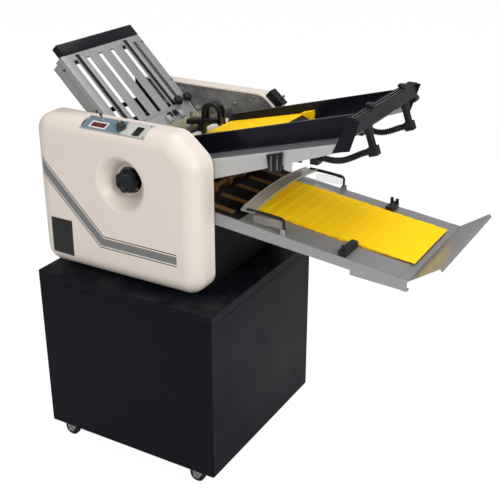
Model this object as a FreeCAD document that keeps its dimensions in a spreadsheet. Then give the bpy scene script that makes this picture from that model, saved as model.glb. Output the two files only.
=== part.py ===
import FreeCAD, Part
import math
import os
import re
import Sketcher
from FreeCAD import Placement, Rotation, Vector

# A floor-standing paper folding machine on a wheeled cabinet. Millimetres, Z up.
# X runs the way the folded sheets leave, Y runs from the operator to the back,
# and the origin lies on the floor under the middle of the machine.

document = FreeCAD.newDocument("PaperFolder")
sheet = document.addObject("Spreadsheet::Sheet", "Sizes")
aliases = []
pieces = []


def sizes(**values):
    for alias, value in values.items():
        cell = f"B{len(aliases) + 1}"
        sheet.set(f"A{len(aliases) + 1}", alias.replace("_", " "))
        sheet.set(cell, str(value))
        sheet.setAlias(cell, alias)
        aliases.append(alias)
    sheet.recompute()


def linked(formula):
    return re.sub(r"[a-z_]\w*", lambda word: f"Sizes.{word[0]}" if word[0] in aliases else word[0], formula)


def size(formula):
    return float(sheet.evalExpression(linked(formula)))


def rect(x_low, x_high, y_low, y_high):
    return [(x_low, y_low), (x_high, y_low), (x_high, y_high), (x_low, y_high)]


# A sub-part: a body whose label names its file. Outlines are lists of corner points,
# and a circle is a tuple of its middle and radius. Every number in them is a formula.
class Piece:
    def __init__(self, label, tool=False):
        self.body = document.addObject("PartDesign::Body", label)
        self.body.Label = label
        if not tool:
            pieces.append(self.body)

    def step(self, kind, **links):
        feature = self.body.newObject("PartDesign::" + kind, f"{self.body.Name}_{kind.lower()}")
        for name, value in links.items():
            setattr(feature, name, value)
        return feature

    def sketch(self, role, loops, shift):
        plane = next(face for face in self.body.Origin.OriginFeatures if face.Role == role + "_Plane")
        drawing = self.body.newObject("Sketcher::SketchObject", self.body.Name + "_outline")
        drawing.AttachmentSupport = (plane, [""])
        drawing.MapMode = "FlatFace"
        for axis, formula in zip("xyz", shift):
            drawing.setExpression(f"AttachmentOffset.Base.{axis}", linked(formula))
        shapes = []
        limits = []
        formulas = {}
        for loop in loops:
            first = len(shapes)
            if isinstance(loop, tuple):
                x, y, radius = map(size, loop)
                shapes.append(Part.Circle(Vector(x, y, 0), Vector(0, 0, 1), radius))
                for kind, formula, value in (("DistanceX", loop[0], x), ("DistanceY", loop[1], y)):
                    formulas[len(limits)] = formula
                    limits.append(Sketcher.Constraint(kind, -1, 1, first, 3, value))
                formulas[len(limits)] = loop[2]
                limits.append(Sketcher.Constraint("Radius", first, radius))
                continue
            corners = [Vector(size(x), size(y), 0) for x, y in loop]
            for number, corner in enumerate(corners):
                following = (number + 1) % len(corners)
                shapes.append(Part.LineSegment(corner, corners[following]))
                limits.append(Sketcher.Constraint("Coincident", first + number, 2, first + following, 1))
            for number, (corner, point) in enumerate(zip(corners, loop)):
                for kind, formula, value in (
                    ("DistanceX", point[0], corner.x),
                    ("DistanceY", point[1], corner.y),
                ):
                    formulas[len(limits)] = formula
                    limits.append(Sketcher.Constraint(kind, -1, 1, first + number, 1, value))
        drawing.addGeometry(shapes)
        drawing.addConstraint(limits)
        for number, formula in formulas.items():
            if linked(formula) != formula:
                drawing.setExpression(f"Constraints[{number}]", linked(formula))
        return drawing

    # material between two heights of the axis that the named plane faces
    def pad(self, role, loops, low, high):
        start = f"-({high})" if role == "XZ" else low
        feature = self.step("Pad", Profile=self.sketch(role, loops, ("0", "0", start)))
        feature.setExpression("Length", linked(f"({high}) - ({low})"))
        return feature

    def cut(self, role, loops, low, high):
        self.body.recompute(True)
        before = self.body.Shape.Volume
        start = f"-({low})" if role == "XZ" else high
        feature = self.step("Pocket", Profile=self.sketch(role, loops, ("0", "0", start)))
        feature.setExpression("Length", linked(f"({high}) - ({low})"))
        self.body.recompute(True)
        if self.body.Shape.Volume >= before:
            raise RuntimeError(f"{self.body.Label}: a cut removes nothing")
        return feature

    # a profile of (radius, height) points turned about a line along X, Y or Z through a middle
    def turn(self, axis, profile, middle, kind="Revolution"):
        across, up = middle
        if axis == "X":
            outline = self.sketch("XZ", [profile], ("0", up, f"-({across})"))
        elif axis == "Y":
            outline = self.sketch("XY", [profile], (across, "0", up))
        else:
            outline = self.sketch("XZ", [profile], (across, "0", f"-({up})"))
        feature = self.step(kind, Profile=outline)
        feature.ReferenceAxis = (outline, ["H_Axis" if axis == "X" else "V_Axis"])
        return feature

    def edges_at(self, points):
        self.body.recompute(True)
        spots = [Part.Vertex(Vector(*map(size, point))) for point in points]
        tip = self.body.Tip
        reach = size("edge_reach")
        names = [
            f"Edge{number + 1}"
            for number, edge in enumerate(tip.Shape.Edges)
            if any(edge.distToShape(spot)[0] < reach for spot in spots)
        ]
        if not names:
            raise RuntimeError(f"{self.body.Label}: no edge at {points}")
        return (tip, names)

    def fillet(self, radius, points):
        feature = self.step("Fillet", Base=self.edges_at(points))
        feature.setExpression("Radius", linked(radius))

    def chamfer(self, reach, points):
        feature = self.step("Chamfer", Base=self.edges_at(points))
        feature.setExpression("Size", linked(reach))

    # copies of the last feature round the middle of its own outline
    def ring(self, feature, outline, copies):
        pattern = self.step("PolarPattern", Originals=[feature], Axis=(outline, ["N_Axis"]), Angle=360)
        pattern.setExpression("Occurrences", linked(copies))
        self.body.Tip = pattern

    # another body's solid taken away
    def hollow(self, tool):
        self.step("Boolean", Type="Cut", Group=[tool.body])

    def place(self, x, y, z, axis=(0, 0, 1), angle="0"):
        self.body.Placement = Placement(Vector(0, 0, 0), Rotation(Vector(*axis), 1))
        for name, formula in (("Base.x", x), ("Base.y", y), ("Base.z", z), ("Rotation.Angle", angle)):
            self.body.setExpression("Placement." + name, linked(formula))


# Clearances used everywhere
sizes(overrun=1, running=0.3, fit=0.05, edge_reach=0.01)

# Cabinet and casters
sizes(
    cabinet_wide=610,
    cabinet_deep=600,
    cabinet_tall=533,
    caster_tall=61,
    rear_overhang=40,
    cabinet_right=20,
    cabinet_left="=cabinet_right - cabinet_wide",
    cabinet_front="=-(cabinet_deep + rear_overhang) / 2",
    cabinet_back="=cabinet_front + cabinet_deep",
    cabinet_top="=caster_tall + cabinet_tall",
    cabinet_sheet=1.5,
    cabinet_edge=4,
    cap_tall=32,
    cap_seam=2,
    cap_step=2,
    cap_edge=2,
    cap_low="=cabinet_top - cap_tall",
)


def cabinet_outline(inset):
    return rect(
        f"cabinet_left + {inset}",
        f"cabinet_right - ({inset})",
        f"cabinet_front + {inset}",
        f"cabinet_back - ({inset})",
    )


def cabinet_corners(height):
    sides, ends = ("cabinet_left", "cabinet_right"), ("cabinet_front", "cabinet_back")
    return [(x, y, height) for x in sides for y in ends]


shell = Piece("cabinet_shell")
shell.pad("XY", [cabinet_outline("0")], "caster_tall", "cap_low")
shell.fillet("cabinet_edge", cabinet_corners("cap_low - cap_tall"))
shell.pad("XY", [cabinet_outline("cap_step")], "cap_low", "cabinet_top - cabinet_sheet")
shell.cut("XY", [cabinet_outline("cabinet_sheet")], "caster_tall + cabinet_sheet", "cap_low - cabinet_sheet")
shell.cut(
    "XY",
    [cabinet_outline("cap_step + cabinet_sheet")],
    "cap_low - cabinet_sheet",
    "cabinet_top + overrun",
)

cap = Piece("cabinet_top")
cap.pad("XY", [cabinet_outline("0")], "cap_low + cap_seam", "cabinet_top")
cap.fillet("cabinet_edge", cabinet_corners("cabinet_top - cap_tall / 2"))
cap.fillet("cap_edge", [("cabinet_right", "0", "cabinet_top")])
cap.cut("XY", [cabinet_outline("cabinet_sheet")], "cap_low - overrun", "cabinet_top - cabinet_sheet")

sizes(
    caster_side_inset=64,
    caster_end_inset=37,
    caster_trail=15,
    wheel_radius=25,
    wheel_wide=20,
    wheel_edge=4,
    wheel_hub=11,
    wheel_hollow=3,
    axle_radius=4,
    axle_head=6.5,
    axle_head_thick=2,
    fork_sheet=2.5,
    fork_gap=1,
    fork_foot=9,
    fork_crown=17,
    tyre_gap=1.5,
    king_pin=5,
    plate_side=54,
    plate_thick=3,
    plate_low="=caster_tall - plate_thick",
    crown_top="=plate_low - running",
    bridge_low="=2 * wheel_radius + tyre_gap",
    fork_half="=wheel_wide / 2 + fork_gap",
    fork_out="=fork_half + fork_sheet",
    fork_tail="=caster_trail + fork_foot + fork_sheet",
)
caster_places = {
    1: ("cabinet_left + caster_side_inset", "cabinet_front + caster_end_inset"),
    2: ("cabinet_right - caster_side_inset", "cabinet_front + caster_end_inset"),
    3: ("cabinet_left + caster_side_inset", "cabinet_back - caster_end_inset"),
    4: ("cabinet_right - caster_side_inset", "cabinet_back - caster_end_inset"),
}
fixed_casters = (3, 4)


# fork of one caster: two legs, the bridge over the wheel, the crown, king pin and axle
def fork(piece, x, y):
    axle_x = f"{x} - caster_trail"
    leg = [
        (f"{axle_x} - fork_foot", "wheel_radius - fork_foot"),
        (f"{axle_x} + fork_foot", "wheel_radius - fork_foot"),
        (f"{x} + fork_crown", "bridge_low"),
        (f"{x} - fork_tail", "bridge_low"),
    ]
    piece.pad("XZ", [leg], f"{y} - fork_out", f"{y} - fork_half")
    piece.pad("XZ", [leg], f"{y} + fork_half", f"{y} + fork_out")
    bridge = rect(f"{x} - fork_tail", f"{x} + fork_crown", f"{y} - fork_out", f"{y} + fork_out")
    piece.pad("XY", [bridge], "bridge_low", "bridge_low + fork_sheet")
    piece.pad("XY", [(x, y, "fork_crown")], "bridge_low + fork_sheet", "crown_top")
    piece.pad("XY", [(x, y, "king_pin")], "crown_top", "caster_tall")
    piece.pad("XZ", [(axle_x, "wheel_radius", "axle_radius")], f"{y} - fork_half", f"{y} + fork_half")
    for low, high in (
        ("-fork_out - axle_head_thick", "-fork_out"),
        ("fork_out", "fork_out + axle_head_thick"),
    ):
        piece.pad("XZ", [(axle_x, "wheel_radius", "axle_head")], f"{y} + {low}", f"{y} + {high}")


mounts = Piece("caster_mounts")
for number, (x, y) in caster_places.items():
    square = rect(
        f"{x} - plate_side / 2",
        f"{x} + plate_side / 2",
        f"{y} - plate_side / 2",
        f"{y} + plate_side / 2",
    )
    mounts.pad("XY", [square, (x, y, "king_pin + fit")], "plate_low", "caster_tall")
    fork(mounts if number in fixed_casters else Piece(f"caster_fork_{number}"), x, y)
    wheel = Piece(f"caster_wheel_{number}")
    tread = [
        ("axle_radius + fit", f"{y} - wheel_wide / 2"),
        ("wheel_hub", f"{y} - wheel_wide / 2"),
        ("wheel_hub + wheel_hollow", f"{y} - wheel_wide / 2 + wheel_hollow"),
        ("wheel_radius - wheel_edge - wheel_hollow", f"{y} - wheel_wide / 2 + wheel_hollow"),
        ("wheel_radius - wheel_edge", f"{y} - wheel_wide / 2"),
        ("wheel_radius", f"{y} - wheel_wide / 2 + wheel_edge"),
        ("wheel_radius", f"{y} + wheel_wide / 2 - wheel_edge"),
        ("wheel_radius - wheel_edge", f"{y} + wheel_wide / 2"),
        ("wheel_radius - wheel_edge - wheel_hollow", f"{y} + wheel_wide / 2 - wheel_hollow"),
        ("wheel_hub + wheel_hollow", f"{y} + wheel_wide / 2 - wheel_hollow"),
        ("wheel_hub", f"{y} + wheel_wide / 2"),
        ("axle_radius + fit", f"{y} + wheel_wide / 2"),
    ]
    wheel.turn("Y", tread, (f"{x} - caster_trail", "wheel_radius"))

# Side covers and frames share one five-cornered profile, cut off at the delivery end
sizes(
    cover_outset=16,
    delivery_shelf=71,
    cover_gap=10,
    cover_tall=460,
    cover_setback=49,
    cover_thick=91,
    cover_wall=4,
    corner_round=52,
    chamfer_round=60,
    front_round=48,
    chamfer_run=79,
    chamfer_rise=69,
    cover_left="=cabinet_left - cover_outset",
    cover_right="=cabinet_right - delivery_shelf",
    cover_low="=cabinet_top + cover_gap",
    cover_top="=cover_low + cover_tall",
    front_face="=cabinet_front + cover_setback",
    front_rim="=front_face + cover_thick",
    rear_face="=cabinet_back + rear_overhang",
    rear_rim="=rear_face - cover_thick",
    chamfer_left="=cover_right - chamfer_run",
    chamfer_low="=cover_top - chamfer_rise",
    chamfer_slant="=sqrt(chamfer_run ^ 2 + chamfer_rise ^ 2)",
    chamfer_side_share="=(chamfer_slant - chamfer_rise) / chamfer_run",
    chamfer_top_share="=(chamfer_slant - chamfer_run) / chamfer_rise",
    frame_inset=6,
    frame_sheet=5,
    frame_recess=9,
    front_frame_out="=front_rim - frame_recess",
    front_frame_in="=front_frame_out + frame_sheet",
    rear_frame_out="=rear_rim + frame_recess",
    rear_frame_in="=rear_frame_out - frame_sheet",
    post_radius=9,
    post_inset=62,
    post_drop=100,
)


def profile(inset):
    left, right = f"cover_left + {inset}", f"cover_right - ({inset})"
    low, top = f"cover_low + {inset}", f"cover_top - ({inset})"
    return [
        (left, low),
        (right, low),
        (right, f"chamfer_low - ({inset}) * chamfer_side_share"),
        (f"chamfer_left - ({inset}) * chamfer_top_share", top),
        (left, top),
    ]


def round_profile(piece, inset, height):
    square = [profile(inset)[number] for number in (0, 1, 4)]
    piece.fillet(f"corner_round - ({inset})", [(x, height, z) for x, z in square])
    slanted = [profile(inset)[number] for number in (2, 3)]
    piece.fillet(f"chamfer_round - ({inset})", [(x, height, z) for x, z in slanted])


posts = [
    ("cover_left + post_inset", "cover_low + post_inset"),
    ("cover_right - post_inset", "cover_low + post_inset"),
    ("cover_left + post_inset", "cover_top - post_drop"),
    ("cover_right - post_inset", "cover_top - post_drop"),
]


# moulded cover: a rounded shell open towards the machine, on four posts that meet the frame
def cover(label, face, rim, side, frame):
    def inward(depth):
        return f"{face} {side} ({depth})"

    def between(near, far):
        return (near, far) if side == "+" else (far, near)

    def rounded_block(piece, inset, end):
        piece.pad("XZ", [profile(inset)], *between(inward(inset), end))
        round_profile(piece, inset, inward("cover_thick / 2"))
        piece.fillet(f"front_round - ({inset})", [("handwheel_x", inward(inset), f"cover_low + {inset}")])

    piece = Piece(label)
    rounded_block(piece, "0", rim)
    cavity = Piece(label + "_cavity", tool=True)
    rounded_block(cavity, "cover_wall", f"{rim} {side} overrun")
    piece.hollow(cavity)
    for x, z in posts:
        piece.pad("XZ", [(x, z, "post_radius")], *between(inward("cover_wall / 2"), frame))
    return piece


sizes(
    handwheel_x=-301,
    handwheel_z=902,
    dish_rim=79,
    dish_floor=46,
    dish_deep=50,
    dish_hole=39,
    dish_skin=5,
    dish_rim_round=14,
    dish_floor_round=8,
    dish_back="=front_face + dish_deep",
    panel_slope=21.5,
    panel_left=-437,
    panel_right=-217,
    panel_back=-204,
    panel_skin=4,
)
front_cover = cover("front_cover", "front_face", "front_rim", "+", "front_frame_out")
dish = ("handwheel_x", "handwheel_z")
bowl = [
    ("0", "front_face + cover_wall / 2"),
    ("dish_rim + dish_skin", "front_face + cover_wall / 2"),
    ("dish_floor + dish_skin", "dish_back + cover_wall"),
    ("0", "dish_back + cover_wall"),
]
front_cover.turn("Y", bowl, dish)
hollow = [
    ("0", "front_face - overrun"),
    ("dish_rim", "front_face - overrun"),
    ("dish_rim", "front_face"),
    ("dish_floor", "dish_back"),
    ("0", "dish_back"),
]
front_cover.turn("Y", hollow, dish, "Groove")
front_cover.fillet("dish_rim_round", [("handwheel_x + dish_rim", "front_face", "handwheel_z")])
front_cover.fillet("dish_floor_round", [("handwheel_x + dish_floor", "dish_back", "handwheel_z")])
front_cover.cut(
    "XZ",
    [("handwheel_x", "handwheel_z", "dish_hole")],
    "dish_back - overrun",
    "dish_back + cover_wall + overrun",
)


# height of the sloping control panel at a depth Y, lifted by a rise
def panel_height(y, rise):
    return f"cover_top - (panel_back - ({y})) * tan(panel_slope) + {rise}"


backing = [
    ("panel_back", panel_height("panel_back", "-cover_wall / 2")),
    ("panel_back", panel_height("panel_back", "-panel_skin - cover_wall / 2")),
    (
        "front_face + 2 * cover_wall",
        panel_height("front_face + 2 * cover_wall", "-panel_skin - cover_wall / 2"),
    ),
    ("front_face + 2 * cover_wall", panel_height("front_face + 2 * cover_wall", "-cover_wall / 2")),
]
front_cover.pad("YZ", [backing], "panel_left - cover_wall", "panel_right + cover_wall")
wedge = [
    ("panel_back", "cover_top"),
    ("panel_back", "cover_top + overrun"),
    ("front_face - overrun", "cover_top + overrun"),
    ("front_face - overrun", panel_height("front_face - overrun", "0")),
]
front_cover.cut("YZ", [wedge], "panel_left", "panel_right")

rear_cover = cover("rear_cover", "rear_face", "rear_rim", "-", "rear_frame_out")

# Base pan on rubber feet, standing on the cabinet
sizes(
    foot_radius=18,
    foot_inset=30,
    pan_sheet=2,
    pan_inset=16,
    pan_flange=34,
    pan_low="=cover_low + cover_wall",
    pan_left="=cover_left + pan_inset",
    pan_right="=cover_right - pan_inset",
    flange_left="=cover_left + corner_round",
    flange_right="=cover_right - corner_round",
)
pan = Piece("base_pan")
for floor in (
    rect("pan_left", "pan_right", "front_rim", "rear_rim"),
    rect("flange_left", "flange_right", "front_frame_in", "rear_frame_in"),
):
    pan.pad("XY", [floor], "pan_low", "pan_low + pan_sheet")
for low, high in (
    ("front_frame_in", "front_frame_in + pan_sheet"),
    ("rear_frame_in - pan_sheet", "rear_frame_in"),
):
    flange = rect("flange_left", "flange_right", low, high)
    pan.pad("XY", [flange], "pan_low + pan_sheet", "pan_low + pan_flange")
for x in ("pan_left + foot_inset", "pan_right - foot_inset"):
    for y in ("front_frame_in + foot_inset", "rear_frame_in - foot_inset"):
        pan.pad("XY", [(x, y, "foot_radius")], "cabinet_top", "pan_low")

# Fold rollers: the handwheel turns roller 3, and the others stand round it
sizes(
    roller_radius=18,
    nip_gap=0.3,
    shaft_radius=8,
    first_nip=45,
    second_nip=105.8,
    third_nip=-85.2,
    roller_pitch="=2 * roller_radius + nip_gap",
    roller_two_x="=handwheel_x + roller_pitch * cos(second_nip)",
    roller_two_z="=handwheel_z + roller_pitch * sin(second_nip)",
    roller_one_x="=roller_two_x + roller_pitch * cos(first_nip)",
    roller_one_z="=roller_two_z + roller_pitch * sin(first_nip)",
    roller_four_x="=handwheel_x + roller_pitch * cos(third_nip)",
    roller_four_z="=handwheel_z + roller_pitch * sin(third_nip)",
    feed_roller_x=-242,
    feed_roller_z=911,
    feed_roller_radius=30,
    delivery_x=-120,
    delivery_z=865.5,
    delivery_radius=18,
    bush_radius=12,
    bush_flange=15,
    bush_lip=2,
    roller_end_gap=2,
    stub_out=6,
)
shafts = {
    "one": ("roller_one_x", "roller_one_z"),
    "two": ("roller_two_x", "roller_two_z"),
    "three": ("handwheel_x", "handwheel_z"),
    "four": ("roller_four_x", "roller_four_z"),
    "feed": ("feed_roller_x", "feed_roller_z"),
    "delivery": ("delivery_x", "delivery_z"),
}

sizes(
    motor_x=-430,
    motor_z=702,
    motor_radius=58,
    motor_long=150,
    motor_shaft=8,
    motor_boss=20,
)


# side frame with a flanged bush round each shaft, flange outwards
def side_frame(label, low, high, flange_low, flange_high):
    frame = Piece(label)
    frame.pad("XZ", [profile("frame_inset")], low, high)
    round_profile(frame, "frame_inset", f"({low}) / 2 + ({high}) / 2")
    frame.cut(
        "XZ",
        [(x, z, "bush_radius + fit") for x, z in shafts.values()],
        f"{low} - overrun",
        f"{high} + overrun",
    )
    for x, z in shafts.values():
        bore = (x, z, "shaft_radius + fit")
        frame.pad("XZ", [(x, z, "bush_radius"), bore], low, high)
        frame.pad("XZ", [(x, z, "bush_flange"), bore], flange_low, flange_high)
    return frame


front_frame = side_frame(
    "front_side_frame", "front_frame_out", "front_frame_in", "front_frame_out - bush_lip", "front_frame_out"
)
boss_hole = ("motor_x", "motor_z", "motor_boss + running")
front_frame.cut("XZ", [boss_hole], "front_frame_out - overrun", "front_frame_in + overrun")
side_frame(
    "rear_side_frame",
    "rear_frame_in",
    "rear_frame_out",
    "rear_frame_out",
    "rear_frame_out + bush_lip",
)

# Gears outside the front frame, and the belt pulleys between them and the frame
sizes(
    gear_teeth=18,
    gear_thick=10,
    gear_clearance_share=0.25,
    tooth_root_share=0.98,
    tooth_tip_share=0.36,
    pulley_radius=20,
    pulley_thick=8,
    belt_gap=0.7,
    gear_module="=roller_pitch / gear_teeth",
    gear_root="=roller_pitch / 2 - gear_module * (1 + gear_clearance_share)",
    gear_tip="=roller_pitch / 2 + gear_module - running / 2",
    tooth_angle="=360 / gear_teeth",
    pulley_back="=front_frame_out - bush_lip - belt_gap",
    pulley_front="=pulley_back - pulley_thick",
    gear_back="=pulley_front - bush_lip",
    gear_front="=gear_back - gear_thick",
    turn_three=0,
    turn_two="=2 * second_nip + 180 + tooth_angle / 2 - turn_three",
    turn_one="=2 * first_nip + 180 + tooth_angle / 2 - turn_two",
    turn_four="=2 * third_nip + 180 + tooth_angle / 2 - turn_three",
    wheel_stub=23,
    tyre_wide=26,
    centre_tyre_wide=60,
    tyre_pitch=100,
    tyre_groove=4,
    delivery_wheel_wide=14,
    delivery_wheel_pitch=80,
    delivery_hub=12,
    paper_middle=39,
)


def drum(piece, middle, radius, front, back):
    piece.pad("XZ", [(*middle, radius)], front, back)


# spur gear: a root disc and one tooth repeated round it, turned to mesh with its neighbour
def gear(piece, middle, angle):
    x, z = middle
    drum(piece, middle, "gear_root", "gear_front", "gear_back")
    foot, tip = "gear_module * tooth_root_share", "gear_module * tooth_tip_share"
    corners = [
        ("gear_root - running", f"-{foot}"),
        ("gear_tip", f"-{tip}"),
        ("gear_tip", tip),
        ("gear_root - running", foot),
    ]
    turned = [
        (f"({r}) * cos({angle}) - ({s}) * sin({angle})", f"({r}) * sin({angle}) + ({s}) * cos({angle})")
        for r, s in corners
    ]
    outline = piece.sketch("XZ", [turned], (x, z, "-gear_back"))
    tooth = piece.step("Pad", Profile=outline)
    tooth.setExpression("Length", linked("gear_thick"))
    document.recompute()
    piece.ring(tooth, outline, "gear_teeth")


for number, (key, angle) in enumerate(zip(shafts, ("turn_one", "turn_two", "turn_three", "turn_four")), 1):
    roller = Piece(f"fold_roller_{number}")
    middle = shafts[key]
    front = "gear_front - wheel_stub" if key == "three" else "gear_front"
    drum(roller, middle, "shaft_radius", front, "rear_frame_out + stub_out")
    drum(roller, middle, "roller_radius", "front_frame_in + roller_end_gap", "rear_frame_in - roller_end_gap")
    if key == "four":
        drum(roller, middle, "pulley_radius", "pulley_front", "pulley_back")
    gear(roller, middle, angle)

feed_roller = Piece("feed_roller")
drum(feed_roller, shafts["feed"], "shaft_radius", "pulley_front", "rear_frame_out + stub_out")
for place, wide in (("-tyre_pitch", "tyre_wide"), ("0", "centre_tyre_wide"), ("tyre_pitch", "tyre_wide")):
    middle_y = f"paper_middle + {place}"
    drum(
        feed_roller,
        shafts["feed"],
        "feed_roller_radius",
        f"{middle_y} - {wide} / 2",
        f"{middle_y} + {wide} / 2",
    )
    drum(
        feed_roller,
        shafts["feed"],
        "bush_radius",
        f"{middle_y} - {wide} / 2 - tyre_groove",
        f"{middle_y} + {wide} / 2 + tyre_groove",
    )

delivery = Piece("delivery_shaft")
drum(delivery, shafts["delivery"], "shaft_radius", "pulley_front", "rear_frame_out + stub_out")
drum(delivery, shafts["delivery"], "pulley_radius", "pulley_front", "pulley_back")
for place in ("-3", "-1", "1", "3"):
    middle_y = f"paper_middle + {place} * delivery_wheel_pitch / 2"
    half = "delivery_wheel_wide / 2"
    drum(delivery, shafts["delivery"], "delivery_radius", f"{middle_y} - {half}", f"{middle_y} + {half}")
    drum(
        delivery,
        shafts["delivery"],
        "delivery_hub",
        f"{middle_y} - {half} - tyre_groove",
        f"{middle_y} + {half}",
    )

# Handwheel on the front end of roller 3, in the dish of the front cover
sizes(
    grip_radius=35,
    grip_front=-253,
    grip_back=-216,
    grip_bevel=5,
    grip_groove=3,
    grip_groove_wide=4,
    grip_cap_radius=17,
    grip_cap_dip=2,
    hub_radius=13,
    groove_front="=(grip_front + grip_back) / 2",
)
handwheel = Piece("handwheel")
grip = [
    ("0", "grip_front + grip_cap_dip"),
    ("grip_cap_radius", "grip_front + grip_cap_dip"),
    ("grip_cap_radius + grip_cap_dip", "grip_front"),
    ("grip_radius - grip_bevel", "grip_front"),
    ("grip_radius", "grip_front + grip_bevel"),
    ("grip_radius", "groove_front"),
    ("grip_radius - grip_groove", "groove_front + grip_groove_wide / 2"),
    ("grip_radius", "groove_front + grip_groove_wide"),
    ("grip_radius", "grip_back"),
    ("hub_radius", "grip_back"),
    ("hub_radius", "gear_front"),
    ("shaft_radius + fit", "gear_front"),
    ("shaft_radius + fit", "gear_front - wheel_stub"),
    ("0", "gear_front - wheel_stub"),
]
handwheel.turn("Y", grip, dish)

# Motor with its pulley, and the belt to roller 4 and the delivery shaft
sizes(
    motor_foot_half=36,
    motor_foot_front=30,
    motor_foot_long=90,
    motor_fan_step=6,
    motor_fan_long=30,
    belt_thick=1.6,
    pulley_nut=3,
)
motor_middle = ("motor_x", "motor_z")
motor_bore = (*motor_middle, "motor_shaft + fit")
motor = Piece("drive_motor")
motor.pad(
    "XZ",
    [(*motor_middle, "motor_radius"), motor_bore],
    "front_frame_in",
    "front_frame_in + motor_long",
)
motor.pad("XZ", [(*motor_middle, "motor_boss"), motor_bore], "front_frame_out", "front_frame_in")
fan_low = "front_frame_in + motor_long"
motor.pad("XZ", [(*motor_middle, "motor_radius - motor_fan_step")], fan_low, f"{fan_low} + motor_fan_long")
foot = rect(
    "motor_x - motor_foot_half",
    "motor_x + motor_foot_half",
    "pan_low + pan_sheet",
    "motor_z - motor_radius / 2",
)
motor.pad(
    "XZ",
    [foot],
    "front_frame_in + motor_foot_front",
    "front_frame_in + motor_foot_front + motor_foot_long",
)

motor_pulley = Piece("motor_pulley")
drum(
    motor_pulley,
    motor_middle,
    "motor_shaft",
    "pulley_front - pulley_nut",
    "front_frame_in + motor_long - running",
)
drum(motor_pulley, motor_middle, "pulley_radius", "pulley_front", "pulley_back")

belt = document.addObject("Part::Feature", "drive_belt")
belt_corners = [
    Vector(size(x), size("pulley_back"), size(z)) for x, z in (
        motor_middle,
        shafts["four"],
        shafts["delivery"],
    )
]
belt_line = Part.makePolygon(belt_corners, True)
belt_inside = size("pulley_radius + running")
belt_loops = [belt_line.makeOffset2D(belt_inside + size("belt_thick")), belt_line.makeOffset2D(belt_inside)]
belt_face = Part.Face(belt_loops[0]).cut(Part.Face(belt_loops[1]))
belt.Shape = belt_face.extrude(Vector(0, -size("pulley_thick"), 0))
pieces.append(belt)

# Air pump on the base pan
sizes(
    pump_left=-300,
    pump_long=140,
    pump_front=40,
    pump_deep=130,
    pump_tall=70,
    pump_head_radius=42,
    pump_head_tall=36,
    pump_nozzle=7,
    pump_nozzle_long=24,
)
pump = Piece("air_pump")
pump_base = "pan_low + pan_sheet"
pump.pad(
    "XY",
    [rect("pump_left", "pump_left + pump_long", "pump_front", "pump_front + pump_deep")],
    pump_base,
    f"{pump_base} + pump_tall",
)
pump_middle = ("pump_left + pump_long / 2", "pump_front + pump_deep / 2")
pump.pad(
    "XY",
    [(*pump_middle, "pump_head_radius")],
    f"{pump_base} + pump_tall",
    f"{pump_base} + pump_tall + pump_head_tall",
)
pump.pad(
    "XY",
    [(*pump_middle, "pump_nozzle")],
    f"{pump_base} + pump_tall + pump_head_tall",
    f"{pump_base} + pump_tall + pump_head_tall + pump_nozzle_long",
)

# Ties between the frames, the plate that closes the delivery end, and the end plate with the mains inlet.
# The plates reach the frames only above the covers' rounded lower corners.
sizes(
    tie_radius=8,
    tie_inset=40,
    tie_top_drop=62,
    end_plate_sheet=2,
    end_plate_inset=11,
    end_plate_top=798,
    inlet_plate_top=820,
    inlet_middle=160,
    inlet_height=690,
    inlet_wide=28,
    inlet_tall=20,
    inlet_deep=24,
    inlet_rim=5,
    inlet_rim_thick=3,
    inlet_wall=2.5,
    inlet_pin_wide=2,
    inlet_pin_tall=6,
    inlet_pin_pitch=7,
    plate_floor="=cover_low + frame_inset",
    corner_rise="=sqrt((corner_round - cover_wall) ^ 2 - (corner_round - end_plate_inset) ^ 2)",
    plate_step="=cover_low + corner_round - corner_rise + end_plate_sheet",
)
ties = Piece("frame_ties")
for x, z in (
    ("cover_left + frame_inset + tie_inset", "cover_top - tie_top_drop"),
    ("cover_left + frame_inset + tie_inset", "pan_low + pan_flange + tie_inset"),
    ("cover_right - frame_inset - tie_inset", "pan_low + pan_flange + tie_inset"),
):
    drum(ties, (x, z), "tie_radius", "front_frame_in", "rear_frame_in")
end_x = "cover_right - end_plate_inset"
for plate in (
    rect("front_rim", "rear_rim", "plate_floor", "end_plate_top"),
    rect("front_frame_in", "rear_frame_in", "plate_step", "end_plate_top"),
):
    ties.pad("YZ", [plate], f"{end_x} - end_plate_sheet", end_x)
back_x = "cover_left + end_plate_inset"
socket = rect(
    "inlet_middle - inlet_wide / 2",
    "inlet_middle + inlet_wide / 2",
    "inlet_height - inlet_tall / 2",
    "inlet_height + inlet_tall / 2",
)
for plate in (
    rect("front_rim", "rear_rim", "plate_floor", "inlet_plate_top"),
    rect("front_frame_in", "rear_frame_in", "plate_step", "inlet_plate_top"),
):
    ties.pad("YZ", [plate, socket], back_x, f"{back_x} + end_plate_sheet")


def grown(loop_half_wide, loop_half_tall, middle_y, middle_z):
    return rect(
        f"{middle_y} - {loop_half_wide}",
        f"{middle_y} + {loop_half_wide}",
        f"{middle_z} - {loop_half_tall}",
        f"{middle_z} + {loop_half_tall}",
    )


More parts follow.
